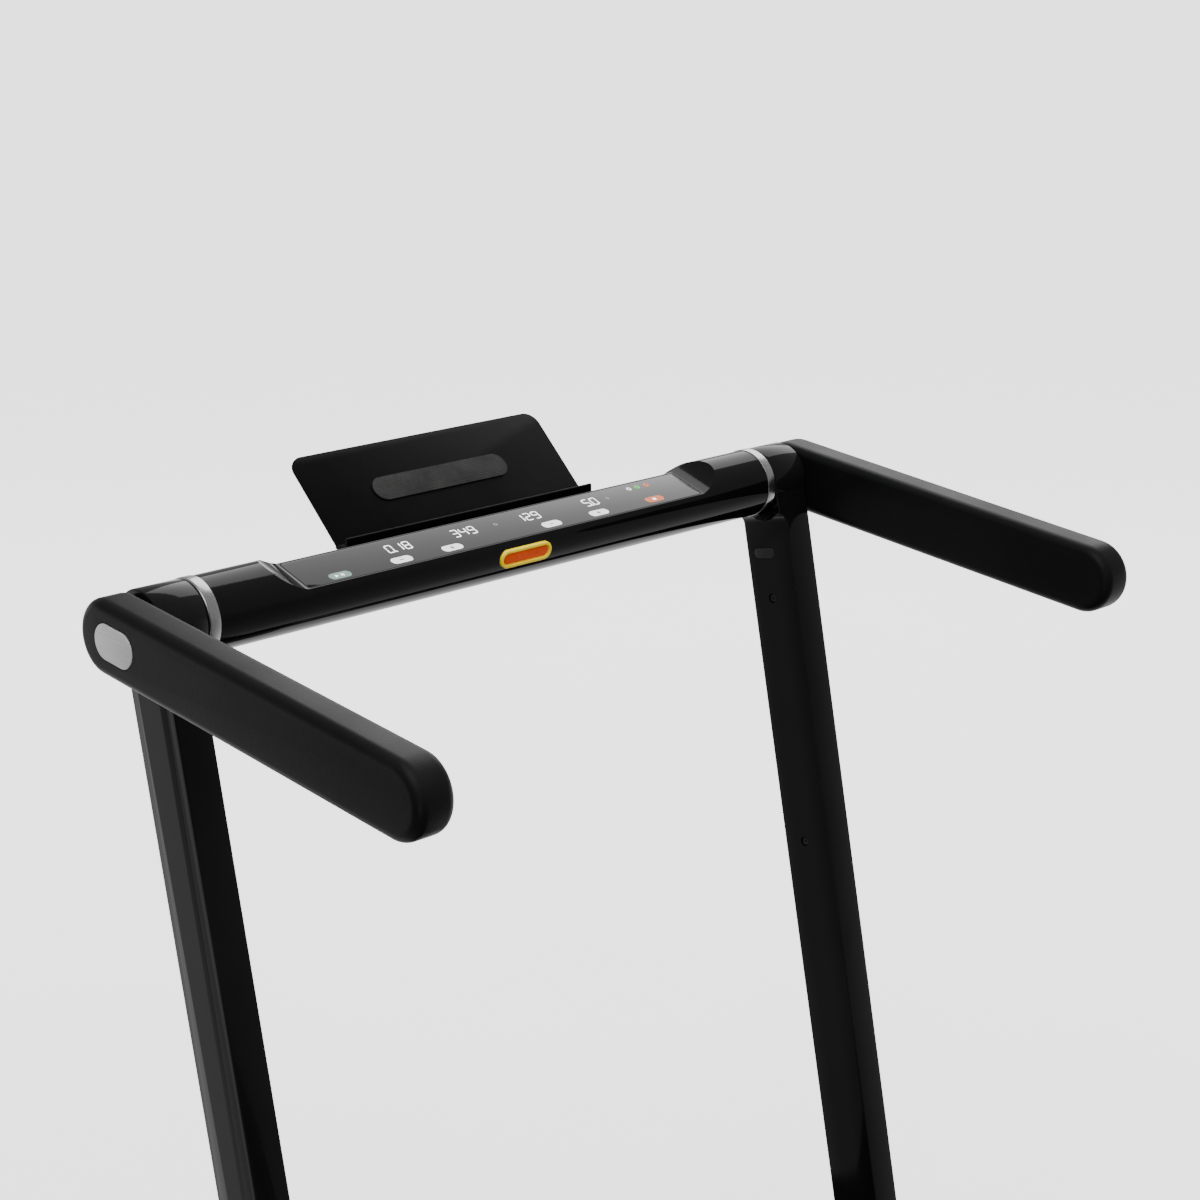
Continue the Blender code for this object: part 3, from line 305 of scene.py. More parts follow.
def gather(name, pieces):
    """Joins loose shapes that belong to one printed or cut group."""
    pick(pieces[0])
    for piece in pieces:
        piece.select_set(True)
    bpy.ops.object.join()
    pieces[0].name = name
    return pieces[0]


def deliver(piece, finish, body, slot, *replaced, angle=32):
    """Shades the piece, gives it its finish, ties it to its body and hides the frame's piece of its name."""
    pick(piece)
    bpy.ops.object.shade_smooth_by_angle(angle=radians(angle))
    piece.data.materials.clear()
    piece.data.materials.append(finish)
    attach(piece, body)
    namesake = piece.name.split(".")[0]
    if namesake in nodes:
        replaced = (namesake,)
    if replaced:
        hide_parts(*replaced)
    return piece


def span(side, near, far):
    """Sorted pair of X values for a piece on one side."""
    return sorted((side * near, side * far))


def at_bar(y, z):
    return (BAR_Y + y, BAR_Z + z)


def bar_arc(start, end, radius, steps):
    """Points round the bar; degrees from the user side, upward positive."""
    return [at_bar(-y, z) for y, z in arc((0, 0), radius, start, end, steps)]


def on_face(x, run, rise):
    """A place on the display face: run from its near edge, rise above it."""
    along = run - HALF_CHORD
    height = FACE_LEVEL + rise
    return (x, BAR_Y + along * cos(FACE_TILT) - height * sin(FACE_TILT),
            BAR_Z + along * sin(FACE_TILT) + height * cos(FACE_TILT))


def on_mast(x, along, across):
    """A place on an upright: along is down from the bar axis, across is towards the front."""
    return (x, BAR_Y - sin(LEAN) * along + cos(LEAN) * across,
            BAR_Z - cos(LEAN) * along - sin(LEAN) * across)


def on_plate(x, run, back):
    """A place on the tablet plate: run up from its foot, back behind its face."""
    return (x, HINGE_Y + 0.004 + sin(PLATE_LEAN) * run + cos(PLATE_LEAN) * back,
            HINGE_Z + 0.007 + cos(PLATE_LEAN) * run - sin(PLATE_LEAN) * back)


# ======== finishes
def add(tree, kind, inputs=(), **settings):
    node = tree.nodes.new("ShaderNode" + kind)
    for key, value in settings.items():
        setattr(node, key, value)
    for key, value in dict(inputs).items():
        node.inputs[key].default_value = value
    return node


def wire(tree, source, entry):
    """Gives an entry of the shader a pattern or a plain value."""
    socket = tree.nodes["Principled BSDF"].inputs[entry]
    if isinstance(source, bpy.types.NodeSocket):
        tree.links.new(source, socket)
    else:
        socket.default_value = source


def on_piece(tree, pattern, stretch=(1, 1, 1), turn=(0, 0, 0)):
    """Lays a pattern on the piece's own coordinates."""
    coords = add(tree, "TexCoord")
    mapping = add(tree, "Mapping", {"Scale": stretch, "Rotation": turn})
    tree.links.new(coords.outputs["Object"], mapping.inputs["Vector"])
    tree.links.new(mapping.outputs["Vector"], pattern.inputs["Vector"])
    return pattern.outputs


def noise(tree, scale, detail=3.0, stretch=(1, 1, 1), turn=(0, 0, 0)):
    """Noise pattern; scale is cycles for each metre."""
    pattern = add(tree, "TexNoise", {"Scale": scale, "Detail": detail, "Roughness": 0.55})
    return on_piece(tree, pattern, stretch, turn)["Fac"]


def between(tree, source, low, high, start=0.3, end=0.7):
    """Turns a pattern into a value between low and high."""
    node = add(tree, "MapRange", {"From Min": start, "From Max": end, "To Min": low, "To Max": high})
    tree.links.new(source, node.inputs["Value"])
    return node.outputs["Result"]


def ramp(tree, source, stops):
    """Colour ramp through (position, colour) stops."""
    node = add(tree, "ValToRGB")
    elements = node.color_ramp.elements
    while len(elements) < len(stops):
        elements.new(0.5)
    for element, (position, colour) in zip(elements, stops):
        element.position = position
        element.color = (*colour, 1)
    tree.links.new(source, node.inputs["Fac"])
    return node.outputs["Color"]


def blend_colours(tree, source, first, second, start=0.35, end=0.65):
    return ramp(tree, source, ((start, first), (end, second)))


def dark(tone, blue):
    """A near-black, its tone and its blue in thousandths."""
    return (tone / 1000, tone / 1000, blue / 1000)


def paint(tree, *blend):
    wire(tree, blend_colours(tree, *blend), "Base Color")


def gloss(tree, *steps):
    wire(tree, between(tree, *steps), "Roughness")


def maths(tree, operation, first, second):
    node = add(tree, "Math", operation=operation)
    for socket, value in zip(node.inputs, (first, second)):
        if isinstance(value, (int, float)):
            socket.default_value = value
        else:
            tree.links.new(value, socket)
    return node.outputs[0]


def bump(tree, heights, distance, strength=1.0):
    """Stacks height patterns; distance is the depth in metres of a full step."""
    total = heights[0]
    for height in heights[1:]:
        total = maths(tree, 'ADD', total, height)
    node = add(tree, "Bump", {"Strength": strength, "Distance": distance})
    tree.links.new(total, node.inputs["Height"])
    wire(tree, node.outputs["Normal"], "Normal")


def start_finish(name, metallic=0.0, specular=0.5, coat=0.0):
    material = bpy.data.materials.new(name)
    material.use_nodes = True
    tree = material.node_tree
    for entry, value in (("Metallic", metallic), ("Specular IOR Level", specular), ("Coat Weight", coat),
                         ("Coat Roughness", 0.05)):
        wire(tree, value, entry)
    return material, tree


def scratches(tree, amount):
    """Hairline rub marks in two directions, as a 0 to amount pattern."""
    first = between(tree, noise(tree, 60, 2, (1, 30, 30)), 0, amount, 0.66, 0.74)
    second = between(tree, noise(tree, 60, 2, (30, 2, 30), (0.3, 0.5, 0.4)), 0, amount, 0.67, 0.75)
    return maths(tree, 'ADD', first, second)


def worn(name, first, second, smooth, rough, grain, depth, drift=6.0, rub=0.06, **shader_values):
    """A finish with slow colour drift, uneven gloss, fine grain and light rub marks."""
    material, tree = start_finish(name, **shader_values)
    paint(tree, noise(tree, drift), first, second)
    shine = between(tree, noise(tree, drift * 2.7, 5), smooth, rough)
    wire(tree, maths(tree, 'ADD', shine, scratches(tree, rub)), "Roughness")
    bump(tree, [noise(tree, grain, 2)], depth)
    return material


def brushed(name, first, second, smooth, rough, stretch, specular=0.5):
    """Brushed metal: fine streaks across the stretched axis."""
    material, tree = start_finish(name, metallic=1.0, specular=specular)
    streaks = noise(tree, 40, 4, stretch)
    paint(tree, streaks, first, second, 0.3, 0.7)
    cloud = between(tree, noise(tree, 25, 3), -0.03, 0.04)
    wire(tree, maths(tree, 'ADD', between(tree, streaks, smooth, rough), cloud), "Roughness")
    bump(tree, [streaks], 0.00002)
    return material


def waves(tree, direction, pitch, turn=0.0):
    """Parallel ribs: pitch is the spacing in metres."""
    pattern = add(tree, "TexWave", {"Scale": tau / 20 / pitch}, bands_direction=direction)
    return on_piece(tree, pattern, turn=(0, 0, turn))["Fac"]


def crossed(tree, pitch, turn=0.0):
    """Ribs in two directions, which leave a grid of small studs."""
    return maths(tree, 'MULTIPLY', waves(tree, 'X', pitch, turn), waves(tree, 'Y', pitch, turn))


def belt_finish():
    """Black walking belt with a fine crossed weave, paler in loose patches."""
    material, tree = start_finish("belt_weave", specular=0.35)
    paint(tree, noise(tree, 9, 5), dark(14, 15), dark(19, 20))
    gloss(tree, noise(tree, 30, 4), 0.62, 0.85)
    bump(tree, [crossed(tree, 0.0022, WEAVE_TURN), noise(tree, 900, 2)], 0.00035)
    return material


def grip_finish():
    """Soft black skin of the handrails: fine leather-like grain with rubbed patches."""
    material, tree = start_finish("soft_grip", specular=0.22)
    paint(tree, noise(tree, 5, 4), dark(3.8, 4), dark(6, 6.2))
    shine = between(tree, noise(tree, 14, 5), 0.33, 0.42)
    wire(tree, maths(tree, 'ADD', shine, scratches(tree, 0.05)), "Roughness")
    cells = on_piece(tree, add(tree, "TexVoronoi", {"Scale": 900}, feature='SMOOTH_F1'))
    bump(tree, [cells["Distance"], noise(tree, 260, 3)], 0.00009, 0.6)
    return material


def pad_finish():
    """Grey anti-slip pad with tiny round studs."""
    material, tree = start_finish("stud_pad", specular=0.3)
    paint(tree, noise(tree, 40, 3), dark(14, 14), dark(21, 20.5))
    gloss(tree, noise(tree, 70, 3), 0.65, 0.9)
    bump(tree, [crossed(tree, 0.0018), noise(tree, 1500, 2)], 0.0003)
    return material


def board_finish():
    """Green circuit board with copper tracks under its varnish."""
    material, tree = start_finish("circuit_board", coat=0.3)
    colours = {"Color1": (0.012, 0.1, 0.035, 1), "Color2": (0.008, 0.075, 0.025, 1), "Mortar": (0.05, 0.2, 0.06, 1)}
    tracks = on_piece(tree, add(tree, "TexBrick", {"Scale": 90, "Mortar Size": 0.03, **colours}))
    wire(tree, tracks["Color"], "Base Color")
    gloss(tree, noise(tree, 80, 3), 0.3, 0.5)
    bump(tree, [tracks["Fac"]], 0.00003)
    return material


def deck_finish():
    """Waxed black laminate over the fibreboard, with the fibres showing through a little."""
    material, tree = start_finish("deck_laminate", specular=0.35)
    fibres = noise(tree, 160, 6, (1, 0.25, 1))
    paint(tree, fibres, (0.01, 0.009, 0.008), (0.024, 0.021, 0.018))
    gloss(tree, noise(tree, 20, 4), 0.4, 0.6)
    bump(tree, [fibres], 0.00008)
    return material


def lit(name, colour, strength, base=(0.6, 0.6, 0.6)):
    """A printed key or readout with light behind it, a little uneven across its face."""
    material, tree = start_finish(name, specular=0.5)
    paint(tree, noise(tree, 300, 3), base, tuple(c * 0.85 for c in base))
    gloss(tree, noise(tree, 200, 3), 0.25, 0.4)
    glow = blend_colours(tree, noise(tree, 150, 2), colour, tuple(c * 0.9 for c in colour))
    wire(tree, glow, "Emission Color")
    wire(tree, strength, "Emission Strength")
    bump(tree, [noise(tree, 1500, 2)], 0.00001)
    return material


black_gloss = worn("console_gloss", dark(2.2, 2.5), dark(3.8, 4.2), 0.05, 0.085, 240, 0.000012,
                   rub=0.03, specular=0.42)
mast_paint = worn("mast_paint", dark(3.5, 4), dark(6, 6.5), 0.07, 0.11, 330, 0.00002,
                  rub=0.03, specular=0.4)
hood_gloss = worn("hood_gloss", dark(4, 4.5), dark(7, 7.5), 0.1, 0.17, 420, 0.00003,
                  rub=0.05, specular=0.42)
soft_grip = grip_finish()
satin_black = worn("plate_coat", dark(0.6, 0.7), dark(1.3, 1.4), 0.3, 0.38, 1500, 0.00003,
                   specular=0.13)
black_screw = worn("black_screw_steel", dark(20, 22), dark(40, 42), 0.25, 0.4, 900, 0.00003, drift=60)
rail_plastic = worn("rail_plastic", dark(18, 19), dark(27, 28), 0.48, 0.6, 1100, 0.00012,
                    rub=0.1, specular=0.4)
dark_plastic = worn("dark_plastic", dark(20, 21), dark(32, 34), 0.42, 0.55, 1400, 0.0001, rub=0.08,
                    specular=0.4)
frame_paint = worn("frame_powder_coat", dark(14, 15), dark(21, 22), 0.32, 0.45, 1300, 0.00008,
                   rub=0.08)
rubber = worn("black_rubber", dark(12, 12), dark(26, 25), 0.7, 0.92, 700, 0.00012, drift=20,
              specular=0.3)
zinc = worn("zinc_plate", (0.48, 0.48, 0.5), (0.62, 0.62, 0.63), 0.22, 0.34, 800, 0.00002, drift=40, rub=0.1,
            metallic=1.0)
ring_metal = brushed("ring_brushed", (0.76, 0.76, 0.77), (0.94, 0.94, 0.95), 0.2, 0.3, (60, 1, 1))
cast_metal = brushed("fin_metal", (0.52, 0.52, 0.53), (0.72, 0.72, 0.73), 0.3, 0.42, (1, 40, 40))
badge_metal = brushed("badge_satin", (0.74, 0.74, 0.75), (0.88, 0.88, 0.89), 0.28, 0.38, (1, 1, 50))
wire(badge_metal.node_tree, 0.4, "Metallic")
yellow_rim = worn("rim_yellow_plastic", (0.78, 0.58, 0.003), (0.86, 0.65, 0.005), 0.24, 0.36, 900, 0.00003, drift=60)
orange_pad = worn("pad_orange_plastic", (0.62, 0.055, 0.001), (0.72, 0.075, 0.002), 0.3, 0.42, 900, 0.00004, drift=60)
# the yellow rim and orange pad glow a little though they hold no lamp: painted light that brightens them
for finish, glow, strength in ((yellow_rim, (1.0, 0.72, 0.005, 1), 0.12), (orange_pad, (1.0, 0.1, 0.001, 1), 0.08)):
    wire(finish.node_tree, glow, "Emission Color")
    wire(finish.node_tree, strength, "Emission Strength")
red_switch = worn("switch_red_plastic", (0.42, 0.015, 0.01), (0.55, 0.025, 0.015), 0.2, 0.32, 900, 0.00003, drift=60)
smoked_glass = worn("smoked_glass", dark(3, 3.5), dark(4, 5), 0.015, 0.03, 120, 0.000002,
                    rub=0.015, specular=0.55)
walking_weave = belt_finish()
stud_pad = pad_finish()
circuit_board = board_finish()
deck_laminate = deck_finish()
readout_light = lit("readout_light", (1.0, 1.0, 1.0), 2.2)
key_light = lit("key_light", (0.9, 0.92, 0.95), 0.9)
start_light = lit("start_key_light", (0.4, 0.7, 0.58), 0.16, (0.12, 0.2, 0.17))
stop_light = lit("stop_key_light", (0.95, 0.2, 0.05), 0.42, (0.4, 0.08, 0.02))
green_light = lit("green_dot_light", (0.1, 0.75, 0.15), 0.8, (0.04, 0.3, 0.06))
amber_light = lit("amber_dot_light", (0.95, 0.22, 0.03), 0.8, (0.4, 0.1, 0.02))
faint_print = lit("faint_print", (0.5, 0.52, 0.55), 0.12, (0.2, 0.2, 0.2))


# ======== console bar
def trough(tilt, level):
    """Cutter above a plane across the bar, with a round rise at each end; level is its distance from the bar axis."""
    turn = radians(SCOOP_START)
    rise = arc((FACE_HALF - SCOOP * sin(turn), level + SCOOP * cos(turn)), SCOOP, SCOOP_START - 90, -30, 26)
    profile = rise + [(rise[-1][0], level + 0.07)]
    profile += [(-x, height) for x, height in reversed(profile)]

    def spot(x, height, ahead):
        return (x, BAR_Y + cos(tilt) * ahead - sin(tilt) * height,
                BAR_Z + sin(tilt) * ahead + cos(tilt) * height)

    return plate_of("trough", spot, profile, -0.06, 0.06)


# flat faces of the bar: tilt, and distance from its axis
FLAT_PLANES = ((FACE_TILT, FACE_LEVEL), (radians(-18.1), 0.02613), (radians(-49.0), 0.0307))


def make_console_shell():
    chamfer = 0.0006
    seam_y = BAR_RADIUS * cos(radians(SEAM))
    seam_z = -BAR_RADIUS * sin(radians(SEAM))
    section = [at_bar(chamfer - seam_y, seam_z)] + bar_arc(1.3 - SEAM, 178.7 + SEAM, BAR_RADIUS, 150)
    section += [at_bar(seam_y - chamfer, seam_z)]
    shell = slab("console_shell", 'X', section, -BAR_HALF, BAR_HALF)
    for tilt, level in FLAT_PLANES:
        carve(shell, trough(tilt, level))
    # the hollow inside follows the flat faces at a wall's distance
    room = []
    for i in range(90):
        angle = tau * i / 90
        reach = BAR_RADIUS - BAR_WALL
        for tilt, level in FLAT_PLANES:
            facing = cos(angle - tilt - pi / 2)
            if facing > 0.05:
                reach = min(reach, (level - 0.0052) / facing)
        room.append(at_bar(reach * cos(angle), reach * sin(angle)))
    scoop_end = FACE_HALF + SCOOP_REACH
    cut(shell, 'X', room, -scoop_end, scoop_end)
    for label, side in SIDES:
        drill(shell, 'X', BAR, *span(side, scoop_end - 0.001, BAR_HALF + 0.01), BAR_RADIUS - BAR_WALL, 90)
    # seat of the glass
    seat = rounded(-FACE_HALF + 0.0006, FACE_HALF - 0.0006, 0.0008, FACE_WIDTH - 0.0008, 0.004, 8)
    press(shell, on_face, seat, -GLASS - 0.0003, 0.01)
    carve(shell, stop_shape("window", 0.0303, 0.0088, -0.0105, 0.0075))
    # hinge ears behind the bar
    for label, side in SIDES:
        a, b = span(side, PLATE_HALF + 0.001, PLATE_HALF + 0.012)
        weld(shell, soften(slab("ear", 'X', pill((HINGE_Y - 0.0095, HINGE_Z), HINGE, 0.005), a, b), 0.0006, 2))
        drill(shell, 'X', HINGE, a - 0.01, b + 0.01, 0.0028, 32)
    deliver(shell, black_gloss, "mast", "gloss_black", angle=20)


def make_console_cover():
    gap = 1.0
    start = 180 + SEAM + gap
    end = 360 - SEAM - gap
    outer = bar_arc(start + 1, end - 1, BAR_RADIUS, 90)
    inner = bar_arc(end, start, BAR_RADIUS - BAR_WALL, 60)
    lip_in = BAR_RADIUS - 0.0006
    section = bar_arc(start, start + 0.1, lip_in, 1)[:1] + outer + bar_arc(end, end + 0.1, lip_in, 1)[:1] + inner
    cover = slab("console_cover", 'X', section, -BAR_HALF, BAR_HALF)
    for x in (-0.27, -0.1, 0.1, 0.27):
        drill(cover, 'Z', (x, BAR_Y), BAR_Z - 0.04, BAR_Z - BAR_RADIUS + 0.0016, 0.0042, 28)
        deliver(cover_screw(x), black_screw, "mast", "bright_steel")
    deliver(cover, black_gloss, "mast", "gloss_black")


def cover_screw(x):
    """Pan-head screw of the lower cover, set in its hole."""
    top = BAR_Z - BAR_RADIUS + 0.0014
    screw = turned("cover_screw_%d" % round(x * 1000 + 500), 'Z', (x, BAR_Y),
                   stepped(top, -1, (0, 3.4), (0.7, 3.4), (1.1, 2.9)), 28)
    return drill(screw, 'Z', (x, BAR_Y), top - 0.002, top - 0.0004, 0.0014, 6)


def ring_profile(start, width, radius, bore, edge, lean_edge):
    """Rounded edge on the bar side and a wider one on the mast side."""
    end = start + width
    near = arc((start + edge, radius - edge), edge, 157.5, 90, 3)
    far = arc((end - lean_edge, radius - lean_edge), lean_edge, 90, 0, 6)
    return [(start, bore), (start, radius - edge)] + near + far + [(end, bore)]


def make_trim_rings():
    for label, side in SIDES:
        profile = ring_profile(BAR_HALF + 0.0004, RING_OUT - BAR_HALF - 0.0005, 0.0332, 0.02, 0.0005, 0.0016)
        ring = spun("trim_ring_" + label, 'X', BAR, [(side * x, radius) for x, radius in profile], 128)
        deliver(ring, ring_metal, "mast", "brushed_aluminium", angle=40)


STOP_ANGLE = radians(-9.4)
STOP_X = 0.0046
stop_out = Vector((0, -cos(STOP_ANGLE), sin(STOP_ANGLE)))
stop_up = Vector((0, sin(STOP_ANGLE), cos(STOP_ANGLE)))


def on_stop(u, v, proud):
    """A place on the stop pad: u along the bar, v up its face, proud above the round of the bar."""
    return Vector((STOP_X + u, BAR_Y, BAR_Z)) + stop_out * (BAR_RADIUS + proud) + stop_up * v


def stop_shape(name, half, radius, low, high):
    return plate_of(name, on_stop, pill((radius - half, 0), (half - radius, 0), radius, 20), low, high)


def make_stop_pad():
    rim = soften(stop_shape("stop_rim", 0.03, 0.0085, -0.0065, 0.0022), 0.0009, 4)
    carve(rim, stop_shape("throat", 0.027, 0.0055, -0.02, 0.02))
    carve(rim, soften(stop_shape("flare", 0.0276, 0.0061, 0.0016, 0.01), 0.0005, 3))
    deliver(rim, yellow_rim, "mast", "rim_yellow")
    pad = soften(stop_shape("stop_pad", 0.0264, 0.0049, -0.0075, 0.0011), 0.0012, 5)
    for u in (-0.012, -0.004, 0.004, 0.012):
        press(pad, on_stop, rounded(u - 0.0005, u + 0.0005, -0.0024, 0.0024, 0.0004, 3), 0.0008, 0.003)
    deliver(pad, orange_pad, "stop_pad", "pad_orange")


# -------- display glass and its readouts
SEGMENTS = {'0': "abcdef", '1': "bc", '2': "abged", '3': "abgcd", '4': "fgbc", '5': "afgcd", '6': "afgcde",
            '7': "abc", '8': "abcdefg", '9': "abfgcd"}
DIGIT_WIDE = 0.0062
DIGIT_TALL = 0.0112
DIGIT_GAP = 0.0033
DIGIT_LEAN = 0.09
STROKE = 0.00115
PRINT_LOW = 0.00003
PRINT_HIGH = 0.00011
EDGE_INSET = 0.0014


def printed(name, outline):
    """A thin lit shape on the display face."""
    return plate_of(name, on_face, outline, PRINT_LOW, PRINT_HIGH)


def bar_shape(x0, y0, x1, y1):
    """A stroke with pointed ends, as on a segment display."""
    half = STROKE / 2
    ahead = Vector((x1 - x0, y1 - y0)).normalized()
    side = Vector((-ahead.y, ahead.x)) * half
    start, end = Vector((x0, y0)) + ahead * half * 0.3, Vector((x1, y1)) - ahead * half * 0.3
    return [start, start + ahead * half + side, end - ahead * half + side, end,
            end - ahead * half - side, start + ahead * half - side]


def digit_strokes(character, left):
    half, wide, tall = DIGIT_TALL / 2, DIGIT_WIDE, DIGIT_TALL
    ends = {'a': (0, tall, wide, tall), 'b': (wide, tall, wide, half), 'c': (wide, half, wide, 0), 'd': (0, 0, wide, 0),
            'e': (0, 0, 0, half), 'f': (0, half, 0, tall), 'g': (0, half, wide, half)}
    return [[(left + x + DIGIT_LEAN * y, y) for x, y in bar_shape(*ends[letter])] for letter in SEGMENTS[character]]


def make_readout(name, text, x, share):
    """A row of segment digits centred at x, its middle at that share of the face's width."""
    pitch = DIGIT_WIDE + DIGIT_GAP
    left = x - (pitch * len(text.replace(".", "")) - DIGIT_GAP) / 2
    foot = share * FACE_WIDTH - DIGIT_TALL / 2
    shapes = []
    for character in text:
        if character == '.':
            shapes.append(arc((left - 0.0019, 0), 0.0009, 0, 330, 11))
        else:
            shapes += digit_strokes(character, left)
            left += pitch
    pieces = [printed(name, [(px, foot + py) for px, py in shape]) for shape in shapes]
    deliver(gather(name, pieces), readout_light, "mast", "smoked_glass")


def make_key(name, x, share, finish, sign):
    """A touch key: a soft-edged pill of light with a dark sign cut through it."""
    y = share * FACE_WIDTH
    key = printed(name, pill((x - 0.0066, y), (x + 0.0066, y), 0.0046, 14))
    arm, half = 0.0022, 0.0006
    quarter = [(-half, -arm), (half, -arm), (half, -half)]
    cross = [(x + c * u - s * v, y + s * u + c * v) for c, s in ((1, 0), (0, 1), (-1, 0), (0, -1)) for u, v in quarter]
    signs = {'minus': [rounded(x - arm, x + arm, y - half, y + half, 0.0005, 2)], 'plus': [cross],
             'start': [[(x - 0.0048, y - 0.0019), (x - 0.0016, y), (x - 0.0048, y + 0.0019)]]
             + [rounded(x + left, x + left + 0.0009, y - 0.0018, y + 0.0018, 0.0003, 2) for left in (0.001, 0.0029)],
             'stop': [rounded(x - 0.0019, x + 0.0019, y - 0.0016, y + 0.0016, 0.0003, 2)]}
    for outline in signs[sign]:
        press(key, on_face, outline, -0.001, 0.001)
    deliver(key, finish, "mast", "smoked_glass")
    if sign in ('start', 'stop'):
        marks = [printed("mark", outline) for outline in signs[sign]]
        deliver(gather(name + "_sign", marks), readout_light, "mast", "smoked_glass")


def make_dot(name, x, share, radius, finish):
    centre = (x, share * FACE_WIDTH)
    outer = printed(name, arc(centre, radius, 0, 348, 29))
    press(outer, on_face, arc(centre, radius * 0.45, 0, 330, 11), -0.001, 0.001)
    deliver(outer, finish, "mast", "smoked_glass")


def make_display():
    def border(inset):
        return rounded(inset - FACE_HALF, FACE_HALF - inset, inset, FACE_WIDTH - inset, 0.0034, 8)

    glass = soften(plate_of("display_glass", on_face, border(EDGE_INSET), -GLASS, 0.0), 0.00025, 2)
    deliver(glass, smoked_glass, "mast", "smoked_glass")
    outer = rounded(-FACE_HALF + 0.0008, FACE_HALF - 0.0008, 0.001, FACE_WIDTH - 0.001, 0.0038, 8)
    ring = plate_of("glass_gasket", on_face, outer, -GLASS, -0.0003)
    press(ring, on_face, border(EDGE_INSET - 0.0001), -0.01, 0.01)
    deliver(ring, rubber, "mast", "rubber_black")
    for name, text, x in (("distance", "0.18", -0.1168), ("energy", "349", -0.043), ("pulse", "129", 0.033),
                          ("speed", "5.0", 0.1104)):
        make_readout("readout_" + name, text, x, 0.635)
    for name, x, share, finish, sign in (
            ("incline_down", -0.127, 0.22, key_light, 'minus'), ("incline_up", -0.0706, 0.22, key_light, 'plus'),
            ("speed_down", 0.0463, 0.22, key_light, 'minus'), ("speed_up", 0.1049, 0.22, key_light, 'plus'),
            ("start", -0.194, 0.196, start_light, 'start'), ("stop", 0.177, 0.23, stop_light, 'stop')):
        make_key("key_" + name, x, share, finish, sign)
    for name, x, share, radius, finish in (
            ("lamp_white", 0.1664, 0.775, 0.0027, key_light), ("lamp_green", 0.177, 0.775, 0.003, green_light),
            ("lamp_amber", 0.1888, 0.775, 0.003, amber_light), ("print_dot_left", -0.0055, 0.63, 0.002, faint_print),
            ("print_dot_right", 0.132, 0.63, 0.002, faint_print)):
        make_dot(name, x, share, radius, finish)


# ======== uprights
HEAD_NEAR = RING_OUT + 0.0006


def make_uprights():
    half = ARM_DEPTH / 2
    length = MAST_LENGTH + half
    flare, top, inset = 0.0105, 0.03, 0.0012
    # the inner face flares out to meet the head
    inner = arc((ARM_IN - flare, top + flare + 0.004), flare, 0, -80, 12)
    outline = [(ARM_OUT, 0.002), (ARM_OUT, length), (ARM_IN, length)] + inner
    outline += [(HEAD_NEAR + 0.0015, 0.016), (HEAD_NEAR + 0.0015, 0.002)]
    rim = [(HEAD_NEAR, BAR_RADIUS - inset), (HEAD_NEAR + 0.0004, BAR_RADIUS - 0.0004), (HEAD_NEAR + inset, BAR_RADIUS),
           (ARM_OUT - inset, BAR_RADIUS), (ARM_OUT - 0.0004, BAR_RADIUS - 0.0004), (ARM_OUT, BAR_RADIUS - inset),
           (ARM_OUT + 0.0001, 0.026), (ARM_OUT + 0.0016, 0.026)]
    for label, side in SIDES:
        arm = plate_of("upright_" + label, on_mast, [(side * x, along) for x, along in outline], -half, half)
        soften(arm, 0.0075, 6, 60)
        weld(arm, turned("head", 'X', BAR, [(side * x, radius) for x, radius in rim], 128))
        drill(arm, 'X', BAR, *span(side, GRIP_IN - 0.0145, GRIP_IN + 0.01), 0.0106, 40)
        through = span(side, ARM_IN - 0.01, ARM_OUT + 0.01)
        drill(arm, 'X', PIVOT, *through, 0.0085, 40)
        drill(arm, 'X', STUD, *through, 0.0055, 32)
        make_upright_fittings(label, side, arm)
        deliver(arm, mast_paint, "mast", "mast_gloss", angle=28)
        plug_outline = rounded(*span(side, ARM_IN - 0.0002, ARM_OUT + 0.0002), -half - 0.0002, half + 0.0002, 0.0078)
        plug = plate_of("upright_plug_" + label, lambda x, across, along: on_mast(x, length + along, across),
                        plug_outline, 0.0001, 0.0041)
        deliver(soften(plug, 0.0012, 3), dark_plastic, "mast", "dark_plastic")


def make_upright_fittings(label, side, arm):
    """Cover cap, two sunk screws and the small lever on the inner side of an upright."""
    def cap_spot(across, along, x):
        return on_mast(x, 0.074 + along, 0.0067 + across)

    press(arm, cap_spot, pill((-0.008, 0), (0.008, 0), 0.0056, 12), *span(side, ARM_IN - 0.01, ARM_IN + 0.0012))
    cap = plate_of("cover_cap_" + label, cap_spot, pill((-0.008, 0), (0.008, 0), 0.0052, 12),
                   side * (ARM_IN + 0.0011), side * (ARM_IN - 0.0006))
    deliver(soften(cap, 0.0005, 3), dark_plastic, "mast", "dark_plastic")
    face = side * ARM_IN
    for number, along in ((1, 0.12), (2, 0.371)):
        spot = on_mast(0, along, 0.004)[1:]
        drill(arm, 'X', spot, face - side * 0.005, face + side * 0.0046, 0.0046, 36)
        screw = turned("arm_screw_%s_%d" % (label, number), 'X', spot,
                       stepped(face, side, (4.5, 3.8), (2, 3.8), (1.5, 3.3)), 32)
        drill(screw, 'X', spot, face + side * 0.0005, face + side * 0.0035, 0.0021, 6)
        deliver(screw, black_screw, "mast", "bright_steel")
    shape = mm((-33, -19.5), (-12, -31.5), (-6, -34.5), (-10, -37.5), (-20, -36.2), (-33, -26.2))
    lever = slab("release_tab_" + label, 'X', [at_bar(y, z) for y, z in shape], *span(side, 0.3292, 0.3415))
    deliver(soften(lever, 0.0012, 3), satin_black, "mast", "dark_plastic")


# ======== handrails and badges
rail_aim = (-cos(GRIP_SLOPE), -sin(GRIP_SLOPE))


def along_rail(distance):
    return at_bar(rail_aim[0] * distance, rail_aim[1] * distance)


